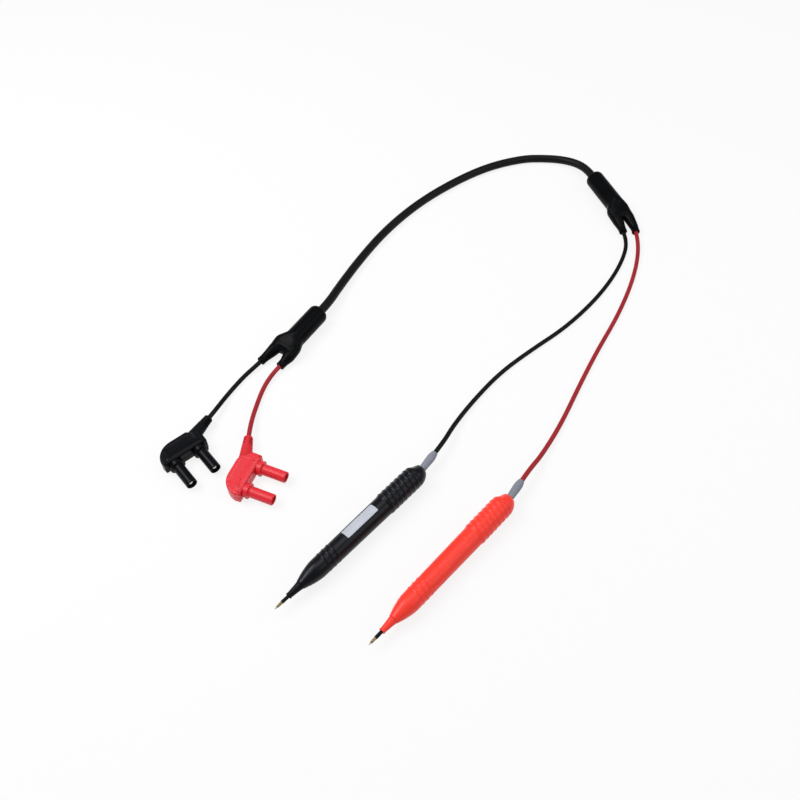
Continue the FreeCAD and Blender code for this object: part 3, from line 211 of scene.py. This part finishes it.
for entry in frame["record"]["subparts"]:
    thing = bpy.data.objects[entry["node"]]
    for place in thing.material_slots:
        place.material = FINISHES[entry["material_slot"]]


# ---- the five cords, each one spline through its route's points
def free_cord(name, points, radius, node, colour):
    curve = bpy.data.curves.new(name, "CURVE")
    curve.dimensions = "3D"
    curve.bevel_depth = radius * MM
    curve.bevel_resolution = 8
    curve.resolution_u = 24
    curve.use_fill_caps = True
    spline = curve.splines.new("NURBS")
    spline.points.add(len(points) - 1)
    for point, (x, y, z) in zip(spline.points, points):
        point.co = (x * MM, y * MM, z * MM, 1)
    spline.order_u = 3
    spline.use_endpoint_u = True
    cord = bpy.data.objects.new(name.replace(" ", "_") + "_cord", curve)
    bpy.context.scene.collection.objects.link(cord)
    curve.materials.append(FINISHES[colour])
    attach(cord, ROOT)
    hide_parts(node)
    return cord


CABLE_RADIUS = 3.5
LEAD_RADIUS = 1.7
MAIN_CABLE = [
    (-120.6, 392.8, 7.9), (-130.44, 397.71, 7.9), (-143.8, 400.3, 6.4), (-158.0, 397.5, 4.5),
    (-171.5, 389.3, 3.5), (-186.5, 375.0, 3.5), (-203.0, 344.0, 3.5), (-212.5, 305.0, 3.5),
    (-217.0, 262.0, 3.5), (-214.5, 218.0, 3.5), (-206.0, 177.0, 3.5), (-195.0, 141.0, 5.0),
    (-187.53, 123.13, 7.9), (-185.5, 111.3, 7.9),
]
BLACK_PEN_LEAD = [
    (-31.5, 73.09, 8.25), (-33.17, 84.97, 8.25), (-38.5, 101.5, 4.2), (-43.0, 128.0, 1.7),
    (-45.0, 163.0, 1.7), (-41.0, 198.0, 1.7), (-35.5, 231.5, 1.7), (-34.5, 267.0, 1.7),
    (-37.5, 300.0, 1.7), (-44.0, 328.0, 2.0), (-52.53, 347.02, 3.55), (-61.66, 354.81, 3.55),
]
RED_PEN_LEAD = [
    (26.9, 96.09, 8.25), (25.23, 107.97, 8.25), (23.5, 124.0, 4.2), (17.0, 157.0, 1.7),
    (6.0, 196.0, 1.7), (-3.4, 233.0, 1.7), (-11.0, 269.5, 1.7), (-21.5, 305.0, 1.7),
    (-33.0, 333.0, 2.0), (-45.27, 353.22, 3.55), (-53.53, 361.93, 3.55),
]
BLACK_PLUG_LEAD = [
    (-185.38, 47.4, 3.55), (-184.68, 40.43, 3.55), (-185.0, 29.5, 1.8), (-180.5, 9.5, 2.4),
    (-174.62, -4.7, 5.65), (-172.46, -13.44, 5.65),
]
RED_PLUG_LEAD = [
    (-171.07, 53.91, 3.55), (-170.25, 46.96, 3.55), (-166.5, 33.0, 1.8), (-154.5, 13.5, 2.4),
    (-144.72, 1.47, 5.65), (-138.73, -5.25, 5.65),
]


free_cord("black pen lead", BLACK_PEN_LEAD, LEAD_RADIUS, "black_pen_lead",
          "black_jacket")
free_cord("red pen lead", RED_PEN_LEAD, LEAD_RADIUS, "red_pen_lead",
          "red_jacket")
free_cord("main cable", MAIN_CABLE, CABLE_RADIUS, "main_cable",
          "cable_jacket")
free_cord("black plug lead", BLACK_PLUG_LEAD, LEAD_RADIUS, "black_plug_lead",
          "black_jacket")
free_cord("red plug lead", RED_PLUG_LEAD, LEAD_RADIUS, "red_plug_lead",
          "red_jacket")


# ---- shapes worked out as grids of points, in millimetres
PENS = {"black": (-29.2, -79.75, 8.25, 0.0), "red": (29.2, -56.75, 8.25, 0.0)}
PLUGS = {"black": (-158.1, -44.8, 5.65, -97.3), "red": (-111.4, -26.3, 5.65, -69.5)}
BOOTS = {"plug_end": (-185.5, 111.3, 7.9, -170.25), "pen_end": (-120.6, 392.8, 7.9, -116.5)}


def running_mean(line, reach, looped):
    """Each point becomes the mean of itself and reach neighbours on either side."""
    if reach < 1:
        return line
    if looped:
        padded = np.concatenate([line[-reach:], line, line[:reach]])
    else:
        first = 2 * line[0] - line[reach:0:-1]
        last = 2 * line[-1] - line[-2:-2 - reach:-1]
        padded = np.concatenate([first, line, last])
    sums = np.cumsum(np.concatenate([np.zeros_like(padded[:1]), padded]), axis=0)
    window = 2 * reach + 1
    return (sums[window:] - sums[:-window]) / window


def soft_outline(corners, soft, step):
    """A closed outline: its corners joined by straight lines, walked in even steps, then each
    point averaged over soft millimetres, which rounds the corners and leaves the straights."""
    corners = np.array([*corners, corners[0]], float)
    walked = np.concatenate([[0], np.cumsum(np.linalg.norm(np.diff(corners, axis=0), axis=1))])
    at = np.arange(int(walked[-1] / step)) * step
    line = np.column_stack([np.interp(at, walked, part) for part in corners.T])
    return running_mean(line, int(soft / step / 2), True)


def eased(at, knots, soft):
    """Values at even stations: straight lines between the knots, averaged over soft millimetres."""
    places, values = zip(*knots)
    reach = int(soft / (at[1] - at[0]) / 2)
    return running_mean(np.interp(at, places, values), reach, False)


def bell(value, middle, width):
    """1 at the middle, falling as exp(-(distance / width) squared)."""
    return np.exp(-((value - middle) / width) ** 2)


def ramp(value, start, end):
    """0 up to start, 1 from end on, and 3t^2 - 2t^3 between."""
    part = np.clip((value - start) / (end - start), 0, 1)
    return part * part * (3 - 2 * part)


def rings(radius, y, angle):
    """Points (radius cos angle, y, radius sin angle): each row is a ring about Y."""
    return np.stack([radius * np.cos(angle), y + 0 * angle, radius * np.sin(angle)], axis=-1)


def round_angles(columns):
    return np.arange(columns) * TURN / columns


def carried(path, radius, columns):
    """A round section carried along a path: path + radius (cos a side + sin a up), where side is
    level and square to the path, and up is square to both."""
    way = np.gradient(path, axis=0)
    way /= np.linalg.norm(way, axis=1, keepdims=True)
    side = np.cross(way, (0, 0, 1))
    side /= np.linalg.norm(side, axis=1, keepdims=True)
    up = np.cross(side, way)
    angle = round_angles(columns)[None, :, None]
    spread = np.cos(angle) * side[:, None] + np.sin(angle) * up[:, None]
    return path[:, None] + radius[:, None, None] * spread


def placed(grid, place):
    """Turned about Z by the place's angle, then moved to its x, y and z."""
    x, y, z, turn = place
    c, s = math.cos(math.radians(turn)), math.sin(math.radians(turn))
    turned = np.array([[c, s, 0], [-s, c, 0], [0, 0, 1]])
    return grid @ turned + (x, y, z)


def skin(grid, looped=False):
    """Corners and faces of a grid whose columns close on themselves. Its rows close too where
    looped; otherwise each end is closed by a fan of triangles to the middle of its last row."""
    rows, columns = grid.shape[:2]
    number = np.arange(rows * columns).reshape(rows, columns)
    here = number if looped else number[:-1]
    ahead = np.roll(number, -1, axis=0)[:len(here)]
    quads = np.stack([here, np.roll(here, -1, 1), np.roll(ahead, -1, 1), ahead], -1).reshape(-1, 4)
    points = grid.reshape(-1, 3)
    faces = quads.tolist()
    if not looped:
        points = np.concatenate([points, grid[:1].mean(axis=1), grid[-1:].mean(axis=1)])
        for ring, pole, flip in ((number[0], len(points) - 2, 1), (number[-1], len(points) - 1, -1)):
            fan = np.column_stack([np.roll(ring, -1), ring, np.full(columns, pole)])[:, ::flip]
            faces += fan.tolist()
    first, second, third = (points[quads[:, i]] for i in (0, 1, 2))
    fourth = points[quads[:, 3]]
    volume = np.einsum("ij,ij->", first, np.cross(second, third))
    volume += np.einsum("ij,ij->", first, np.cross(third, fourth))
    if volume < 0:
        faces = [face[::-1] for face in faces]
    return points, faces


def add_piece(name, skins, slot, nodes, body=ROOT):
    """One mesh object from one or more skins, riding on a body in place of CAD nodes."""
    points = []
    faces = []
    for corners, part in skins:
        start = sum(len(group) for group in points)
        points.append(corners)
        faces += [[corner + start for corner in face] for face in part]
    mesh = bpy.data.meshes.new(name)
    mesh.from_pydata((np.concatenate(points) * MM).tolist(), [], faces)
    mesh.validate()
    mesh.polygons.foreach_set("use_smooth", np.ones(len(mesh.polygons), bool))
    mesh.materials.append(FINISHES[slot])
    made = bpy.data.objects.new(name, mesh)
    bpy.context.scene.collection.objects.link(made)
    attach(made, body)
    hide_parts(*nodes)
    return made


# ---- the pens
FRONT_RIBS = 42.7 + 4.1 * np.arange(3)
GRIP_RIBS = 100.7 + 4.1 * np.arange(7)
LABEL_FACING = math.radians(102.5)
LABEL_MIDDLE = 77.0
LABEL_HALF = 14.0
LABEL_HALF_ANGLE = math.radians(31.0)


def taper(y):
    """The smooth body's radius, from 6.85 at y 37.1 to 7.45 at y 98.3."""
    return 6.85 + (y - 37.1) * 0.6 / 61.2


def handle(colour):
    """Nose, tapered body and grip turned about Y. Radius = outline + a low bead at each rib, a
    little higher on the upper left, less the label seat: a rounded rectangle in (y, angle times
    radius), 0.15 mm deep."""
    nose = [(3.35, 21.6), (3.72, 22.8), (4.28, 24.6), (4.86, 26.3), (5.36, 28.1), (5.8, 30.0), (6.2, 31.8),
            (6.52, 33.6), (6.75, 35.4), (6.85, 37.1)]
    outline = soft_outline([(2.75, 21.6), *nose, (7.45, 98.3), (7.8, 99.5), (7.8, 127.7), (5.4, 127.7),
                            (5.4, 33.6), (2.75, 30.6)], 0.5, 0.22)
    radius, y = outline.T[:, :, None]
    angle = round_angles(88)[None, :]
    outer = ramp(radius, 5.45, 5.7) * (y > 25)
    radius = radius + 0 * angle
    rise = outer * (0.32 + 0.09 * np.cos(angle - math.radians(140)))
    for middle in (*FRONT_RIBS, *GRIP_RIBS):
        radius = radius + rise * bell(y, middle, 0.46)
    across = (np.mod(angle - LABEL_FACING + math.pi, TURN) - math.pi) * 7.2
    corner = 1.3
    over_x = np.abs(across) - LABEL_HALF_ANGLE * 7.2 + corner
    over_y = np.abs(y - LABEL_MIDDLE) - LABEL_HALF + corner
    gap = np.hypot(np.maximum(over_x, 0), np.maximum(over_y, 0)) - corner
    gap = gap + np.minimum(np.maximum(over_x, over_y), 0)
    radius = radius - outer * 0.15 * ramp(-gap, -0.1, 0.25)
    grid = placed(rings(radius, y, angle), PENS[colour])
    add_piece(f"{colour}_handle_shell", [skin(grid, True)], f"{colour}_grip", [f"{colour}_handle"])


def rear_cap(colour):
    """A dome turned about Y with the boot's hole through it. A scoop on the upper left is taken
    out of its radius: 1.2 sin(y's part of the dome) bell(angle)."""
    dome = [(7.8, 128.6), (7.62, 129.9), (7.25, 131.4), (6.6, 133.0), (5.75, 134.5), (4.7, 135.8),
            (4.3, 136.2)]
    outline = soft_outline([(2.65, 136.5), (2.65, 132.9), (3.6, 132.9), (3.75, 128.6), (3.75, 121.7),
                            (5.35, 121.7), (5.35, 127.72), (7.8, 127.72), *dome, (3.3, 136.5)], 0.5, 0.16)
    radius, y = outline.T[:, :, None]
    angle = round_angles(96)[None, :]
    outer = ramp(radius, 3.4, 4.6) * (y > 127.9)
    aside = np.mod(angle - math.radians(140) + math.pi, TURN) - math.pi
    window = np.sin(np.clip((y - 129.0) / 7.2, 0, 1) * math.pi)
    radius = radius - outer * 1.2 * window * bell(aside, 0, 0.8)
    grid = placed(rings(radius, y, angle), PENS[colour])
    add_piece(f"{colour}_cap_dome", [skin(grid, True)], f"{colour}_grip", [f"{colour}_rear_cap"])


def nozzle(colour):
    """A cone turned about Y with a rolled front lip, three shallow steps and a shank behind."""
    outline = soft_outline([(1.25, 11.4), (2.1, 11.4), (2.16, 12.3), (2.02, 12.7), (2.32, 15.6), (2.34, 15.8),
                            (2.62, 18.4), (2.64, 18.6), (3.02, 21.3), (2.98, 21.55), (2.7, 21.6), (2.7, 30.6),
                            (1.25, 30.6)], 0.3, 0.09)
    radius, y = outline.T[:, :, None]
    grid = placed(rings(radius, y, round_angles(64)[None, :]), PENS[colour])
    slot = "red_grip" if colour == "red" else "black_moulding"
    add_piece(f"{colour}_nozzle_cone", [skin(grid, True)], slot, [f"{colour}_nozzle"])


def contact_crown(colour):
    """The gold tube turned about Y; near its front y moves back by 0.35 (1 - cos 4 angle), which
    leaves four rounded teeth, and the tube narrows to them."""
    outline = soft_outline([(0.66, 1.5), (0.72, 1.5), (0.8, 2.1), (0.92, 3.3), (0.92, 32.6), (1.6, 32.6),
                            (1.6, 34.0), (0.66, 34.0)], 0.16, 0.07)
    radius, y = outline.T[:, :, None]
    angle = round_angles(64)[None, :]
    y = y + 0.35 * (1 - np.cos(4 * angle)) * (1 - ramp(y, 1.5, 3.2))
    grid = placed(rings(radius, y, angle), PENS[colour])
    add_piece(f"{colour}_crown", [skin(grid, True)], "gold_plate", [f"{colour}_outer_contact"],
              f"{colour}_contact")


def pen_boot(colour):
    """The grey sleeve: a round section carried from the cap along the lead's lean of 8 degrees.
    It swells, tapers and ends in a rounded lip, with a flat pressed into its upper side."""
    at = np.arange(131.3, 153.02, 0.16)
    lean = math.radians(8.0)
    beyond = np.maximum(at - 136.5, 0)
    bent = np.column_stack([-np.sin(lean) * beyond, np.minimum(at, 136.5) + np.cos(lean) * beyond, 0 * at])
    path = running_mean(bent, 9, False)
    size = eased(at, [(131.3, 3.35), (132.7, 3.35), (132.8, 2.58), (136.5, 2.55), (140.0, 2.68),
                      (146.5, 2.98), (149.0, 2.96), (151.6, 2.5), (152.9, 2.16), (153.1, 1.8)], 0.7)
    angle = round_angles(72)[None, :, None]
    grid = carried(path, size, 72)
    press = (ramp(at, 138.5, 141.0) * (1 - ramp(at, 147.5, 150.0)))[:, None]
    level = (grid[:, :, 2] - path[:, 2:3]) / size[:, None]
    grid[:, :, 2] -= 0.22 * press * ramp(level, 0.62, 1.0)
    add_piece(f"{colour}_pen_boot", [skin(placed(grid, PENS[colour]))], "grey_rubber",
              [f"{colour}_rear_boot"])


def label_plate():
    """A rounded rectangle drawn in rings from its middle, bent round the pen: angle = facing +
    across / bend radius, and radius = the body's taper less the ring's depth."""
    gap, bend = 0.07, 7.15
    x = LABEL_HALF_ANGLE * bend - gap
    y = LABEL_HALF - gap
    edge = soft_outline([(-x, -y), (x, -y), (x, y), (-x, y)], 1.9, 0.25)
    inside = np.linspace(0.02, 0.985, 24)
    scale = np.concatenate([inside, [0.996, 1.0, 1.0, 0.996], inside[::-1]])[:, None]
    depth = np.concatenate([np.full(24, 0.02), [0.03, 0.06, 0.1, 0.135], np.full(24, 0.14)])[:, None]
    across = scale * edge[:, 0]
    y = LABEL_MIDDLE + scale * edge[:, 1]
    grid = rings(taper(y) - depth, y, LABEL_FACING + across / bend)
    add_piece("black_label_plate", [skin(placed(grid, PENS["black"]))], "label_film", ["black_label"])


def sprung(colour, spring):
    """The coil spring gets its own copy of its mesh."""
    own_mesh(bpy.data.objects[f"{colour}_{spring}"])


for colour in ("black", "red"):
    sprung(colour, "outer_spring")
    sprung(colour, "centre_spring")
    handle(colour)
    rear_cap(colour)
    nozzle(colour)
    contact_crown(colour)
    pen_boot(colour)
label_plate()

# ---- the double plugs
PLUG_BEND = np.radians(np.linspace(-9.8, -90, 9))
PLUG_ARC = zip(4.5 + 13.5 * np.cos(PLUG_BEND), -1.7 + 13.5 * np.sin(PLUG_BEND))
PLUG_PLAN = [(-16.8, 0), (17.4, 0), *PLUG_ARC, (-8.6, -15.2), (-17.0, -8.0)]
PLUG_MIDDLE = np.array([-0.5, -7.2])
PLUG_HALF = 5.4
EDGE_ROUND = 1.3


def housing_half(colour, word, side):
    """Half a plug housing. Each row is the plan's outline: up the wall, drawn in round the edge by
    R (1 - cos a) while it rises R sin a, then shrunk to the middle over the top. The wall has a
    fine groove at the joint, and the top a shallow field behind a low ridge along the front."""
    plan = soft_outline(PLUG_PLAN, 1.5, 0.16)
    along = np.roll(plan, -2, axis=0) - np.roll(plan, 2, axis=0)
    along /= np.linalg.norm(along, axis=1, keepdims=True)
    outward = np.column_stack([-along[:, 1], along[:, 0]])
    wall = np.concatenate([[0.03, 0.1, 0.2, 0.32, 0.45], np.linspace(0.6, PLUG_HALF - EDGE_ROUND, 9)])
    bend = np.linspace(0, math.pi / 2, 12)[1:]
    height = np.concatenate([wall, PLUG_HALF - EDGE_ROUND + EDGE_ROUND * np.sin(bend)])
    inset = np.concatenate([0.22 * bell(wall, 0, 0.22), EDGE_ROUND * (1 - np.cos(bend))])
    shell = plan[None] - inset[:, None, None] * outward[None]
    shrink = np.concatenate([1 - np.arange(1, 40) / 40.0, [0.01]])[:, None, None]
    top = PLUG_MIDDLE + (shell[-1:] - PLUG_MIDDLE) * shrink
    under = PLUG_MIDDLE + (shell[:1] - PLUG_MIDDLE) * np.array([0.01, 0.5, 0.93])[:, None, None]
    flat = np.concatenate([under, shell, top])
    level = np.concatenate([[0.03] * 3, height, [PLUG_HALF] * len(top)])[:, None] + 0 * flat[:, :, 0]
    x, y = flat[:, :, 0], flat[:, :, 1]
    lying = (level > PLUG_HALF - 0.01)
    ridge = 0.18 * ramp(y, -4.7, -3.5) * (1 - ramp(y, -2.7, -1.5)) * (1 - ramp(np.abs(x), 12.4, 14.0))
    field = 0.16 * ramp(-y, 5.2, 6.6) * (1 - ramp(-y, 11.4, 12.8)) * (1 - ramp(np.abs(x + 0.6), 9.8, 11.4))
    level = level + lying * (ridge - field)
    grid = placed(np.stack([x, y, side * level], axis=-1), PLUGS[colour])
    add_piece(f"{colour}_plug_{word}_shell", [skin(grid)], f"{colour}_plug_plastic",
              [f"{colour}_plug_{word}"])


def shroud(colour, letter, x):
    """A hollow sleeve turned about Y: spigot in the housing, collar, thin ring, sleeve with a rolled
    mouth, and its bore."""
    outline = soft_outline([(1.55, -4.05), (4.1, -4.05), (4.1, -1.45), (3.4, -1.45), (3.4, 0.05),
                            (5.15, 0.05), (5.2, 0.5), (5.2, 2.4), (5.65, 2.5), (5.65, 3.6), (4.3, 3.7),
                            (4.0, 4.4), (4.0, 21.3), (3.75, 21.7), (3.3, 21.7), (3.05, 21.4), (3.05, 2.5),
                            (1.55, 2.5)], 0.34, 0.13)
    radius, y = outline.T[:, :, None]
    grid = rings(radius, y, round_angles(80)[None, :]) + (x, 0, 0)
    add_piece(f"{colour}_sleeve_{letter}", [skin(placed(grid, PLUGS[colour]), True)],
              f"{colour}_plug_plastic", [f"{colour}_shroud_{letter}"])


BOOT_LENGTH = 20.9
BOOT_IN_PLUG = (-9.8, -10.67, 0, 111.2)
SLOT_PITCH = 2.0
SLOT_WIDTH = 0.9
SLOT_STARTS = ((0.0, 13.5), (math.pi, 14.5))


def slotted_boot(colour):
    """The plug's strain relief about its own axis. Its rows run from the housing's slanted wall,
    y = 3.06 + 0.535 x, to the lip. Radius = taper less three slots a side: each is a band 0.9 mm
    wide along the axis times a band of 130 degrees round it. A neck runs on into the housing."""
    part = np.linspace(0, 1, 190)[:, None]
    angle = round_angles(96)[None, :]
    wall = 3.06 + 0.535 * 4.72 * np.cos(angle)
    y = wall + (BOOT_LENGTH - wall) * part
    radius = 4.95 - 0.0854 * (y - 0.4)
    radius = radius - 0.16 * (1 - ramp(part, 0, 0.02)) - 0.6 * ramp(y, BOOT_LENGTH - 0.8, BOOT_LENGTH + 0.3)
    for side, start in SLOT_STARTS:
        aside = np.abs(np.mod(angle - side + math.pi, TURN) - math.pi)
        round_part = 1 - ramp(aside, math.radians(57), math.radians(67))
        for number in range(3):
            middle = start + SLOT_WIDTH / 2 + SLOT_PITCH * number
            band = 1 - ramp(np.abs(y - middle), 0.36, 0.52)
            radius = radius - (radius - 2.1) * band * round_part
    at = np.array([0, 0.95, 1.05, 5.0, 9.0])[:, None]
    neck = np.array([3.2, 3.2, 2.9, 2.9, 2.9])[:, None] + 0 * angle
    whole = [rings(radius, y, angle), rings(neck, at, angle)]
    skins = [skin(placed(placed(grid, BOOT_IN_PLUG), PLUGS[colour])) for grid in whole]
    add_piece(f"{colour}_slotted_boot", skins, f"{colour}_plug_rubber", [f"{colour}_lead_boot"])


for colour in ("black", "red"):
    housing_half(colour, "cover", 1)
    housing_half(colour, "base", -1)
    shroud(colour, "a", 9.5)
    shroud(colour, "b", -9.5)
    slotted_boot(colour)

# ---- the breakout boots
# The sleeve's end and the crotch, along the boot; then each leg's x at the crotch, its end's x and y,
# and its lean in degrees. The black leg comes first.
LEGS = {
    "plug_end": (33.0, 49.0, [(8.3, 10.7, 63.0, 4.0), (-5.4, -4.5, 59.0, 3.0)]),
    "pen_end": (39.0, 56.8, [(6.05, 7.7, 69.7, 14.0), (-4.7, -2.3, 73.8, 20.0)]),
}
# Heights of the palm against the distance past the sleeve's end.
PALM_TOP = ((-3, 7.8), (0.5, 7.7), (3, 6.7), (6, 5.2), (10, 3.7), (15, 2.6))
PALM_UNDERSIDE = ((-3, -7.8), (0.5, -7.7), (3, -6.9), (7, -6.6), (14, -7.2))
LEG_END_Z = -4.35


def boot_tube(tube_y):
    """The wide round sleeve for the cable, with a rolled shoulder at its mouth."""
    at = np.arange(0, tube_y + 4, 0.4)
    size = eased(at, [(0, 5.8), (0.8, 6.9), (2.2, 7.65), (3.4, 7.9), (tube_y, 7.9), (tube_y + 4, 6.6)],
                 1.6)
    return carried(np.column_stack([0 * at, at, 0 * at]), size, 72)


def boot_palm(tube_y, crotch_y, legs):
    """The sleeve flattening into the two legs: a rounded oblong, its width growing on a ramp and
    its top and underside each falling through set heights. Section: sign(c) |c|^power of each."""
    at = np.arange(tube_y - 3, crotch_y - 0.6, 0.25)
    along = at - tube_y
    part = ramp(along, -1.5, 8.0)[:, None]
    left = max(leg[0] for leg in legs) + 4.7
    right = min(leg[0] for leg in legs) - 4.7
    half = 7.8 + ((left - right) / 2 - 7.8) * part
    upper = eased(at, [(tube_y + y, z) for y, z in PALM_TOP], 3)
    under = eased(at, [(tube_y + y, z) for y, z in PALM_UNDERSIDE], 3)
    end = ramp(at, crotch_y - 4.2, crotch_y - 0.6)
    middle, high = (upper + under) / 2, (upper - under) / 2 * (1 - 0.45 * end)
    angle = round_angles(96)[None, :]
    cos, sin = np.cos(angle), np.sin(angle)
    power = 1 - 0.3 * part
    x = (left + right) / 2 * part + half * np.sign(cos) * np.abs(cos) ** power
    z = middle[:, None] + high[:, None] * np.sign(sin) * np.abs(sin) ** power
    return np.stack([x, at[:, None] + 0 * x, z], axis=-1)


def boot_leg(tube_y, crotch_y, leg):
    """A leg: a round section along the straights root, shoulder, crotch, last bend, end, each
    corner between them eased over 7 mm."""
    crotch_x, end_x, end_y, lean = leg
    turn = math.radians(lean)
    side = 1 if crotch_x > 0 else -1
    late = (end_x + 5 * math.sin(-turn), end_y - 5 * math.cos(turn), LEG_END_Z)
    knots = np.array([(side * 2.6, tube_y - 3, 0), (crotch_x, crotch_y - 8, -1.6),
                      (crotch_x, crotch_y, -2.6), late, (end_x, end_y, LEG_END_Z)])
    walked = np.concatenate([[0], np.cumsum(np.linalg.norm(np.diff(knots, axis=0), axis=1))])
    at = np.arange(0, walked[-1] + 0.1, 0.25)
    path = np.column_stack([np.interp(at, walked, part) for part in knots.T])
    path = running_mean(path, 14, False)
    size = eased(at, [(0, 4.1), (walked[1], 4.8), (walked[2], 4.8), (walked[3], 3.45),
                      (walked[4] - 1.3, 3.3), (walked[4] - 1.0, 3.55), (walked[4], 3.5)], 0.8)
    return carried(path, size, 48)


def breakout_boot(word):
    """Sleeve, palm and two legs laid into each other, made one skin of small even faces, then
    eased."""
    tube_y, crotch_y, legs = LEGS[word]
    shapes = [boot_tube(tube_y), boot_palm(tube_y, crotch_y, legs)]
    shapes += [boot_leg(tube_y, crotch_y, leg) for leg in legs]
    made = add_piece(f"{word}_boot_skin", [skin(placed(shape, BOOTS[word])) for shape in shapes],
                     "boot_rubber", [f"{word}_breakout_boot"])
    merge = made.modifiers.new("one skin", "REMESH")
    merge.mode = "VOXEL"
    merge.voxel_size = 0.32 * MM
    merge.use_smooth_shade = True
    ease = made.modifiers.new("eased", "SMOOTH")
    ease.factor = 0.5
    ease.iterations = 30


for word in LEGS:
    breakout_boot(word)


# ---- floor and light
FLOOR_GLOW = 0.84
FLOOR_HALF = 3.0
SET_MIDDLE = Vector((-0.09, 0.16, 0))


def floor_finish():
    """Pale matt board that the camera sees as near white, still with the set's shadow."""
    made = Finish("pale board")
    made.tree.nodes.remove(made.shader)
    board = made.node("ShaderNodeBsdfDiffuse")
    board.inputs["Color"].default_value = (0.86, 0.86, 0.87, 1)
    glow = made.node("ShaderNodeEmission")
    glow.inputs["Color"].default_value = (1, 1, 1, 1)
    path = made.node("ShaderNodeLightPath")
    seen = made.node("ShaderNodeMath", operation="MAXIMUM")
    made.link(path.outputs["Is Camera Ray"], seen.inputs[0])
    made.link(path.outputs["Is Glossy Ray"], seen.inputs[1])
    part = made.node("ShaderNodeMath", operation="MULTIPLY")
    part.inputs[1].default_value = FLOOR_GLOW
    made.link(seen.outputs["Value"], part.inputs[0])
    both = made.node("ShaderNodeMixShader")
    made.link(part.outputs["Value"], both.inputs["Fac"])
    made.link(board.outputs["BSDF"], both.inputs[1])
    made.link(glow.outputs["Emission"], both.inputs[2])
    made.link(both.outputs["Shader"], made.tree.nodes["Material Output"].inputs["Surface"])
    return made.material


floor_mesh = bpy.data.meshes.new("floor")
floor_corners = [(x * FLOOR_HALF, y * FLOOR_HALF, 0) for x, y in ((-1, -1), (1, -1), (1, 1), (-1, 1))]
floor_mesh.from_pydata(floor_corners, [], [(0, 1, 2, 3)])
floor = bpy.data.objects.new("floor", floor_mesh)
floor.location = (0, 0, -0.0001)
bpy.context.scene.collection.objects.link(floor)
floor_mesh.materials.append(floor_finish())


def softbox(name, heading, height, reach, width, depth, power):
    """A large soft lamp at heading degrees round the set's middle, aimed at it."""
    lamp = bpy.data.lights.new(name, "AREA")
    lamp.shape = "RECTANGLE"
    lamp.size = width
    lamp.size_y = depth
    lamp.energy = power
    holder = bpy.data.objects.new(name, lamp)
    bpy.context.scene.collection.objects.link(holder)
    turn = math.radians(heading)
    holder.location = SET_MIDDLE + Vector((math.cos(turn) * reach, math.sin(turn) * reach, height))
    holder.rotation_euler = (SET_MIDDLE - holder.location).to_track_quat("-Z", "Y").to_euler()


softbox("key", CAMERA_HEADING + 90, 0.9, 0.7, 0.7, 0.5, 7.6)
softbox("fill", CAMERA_HEADING - 100, 0.7, 0.8, 0.9, 0.7, 2.8)
softbox("top", CAMERA_HEADING, 1.3, 0.25, 0.8, 0.8, 4.3)

world = bpy.data.worlds.new("studio")
bpy.context.scene.world = world
world.use_nodes = True
tree = world.node_tree
backdrop = tree.nodes["Background"]
backdrop.inputs["Color"].default_value = (1, 1, 1, 1)
path = tree.nodes.new("ShaderNodeLightPath")
strength = tree.nodes.new("ShaderNodeMapRange")
strength.inputs["To Min"].default_value = 0.3
strength.inputs["To Max"].default_value = 1.0
tree.links.new(path.outputs["Is Camera Ray"], strength.inputs["Value"])
tree.links.new(strength.outputs["Result"], backdrop.inputs["Strength"])
bpy.context.scene.view_settings.view_transform = "Standard"
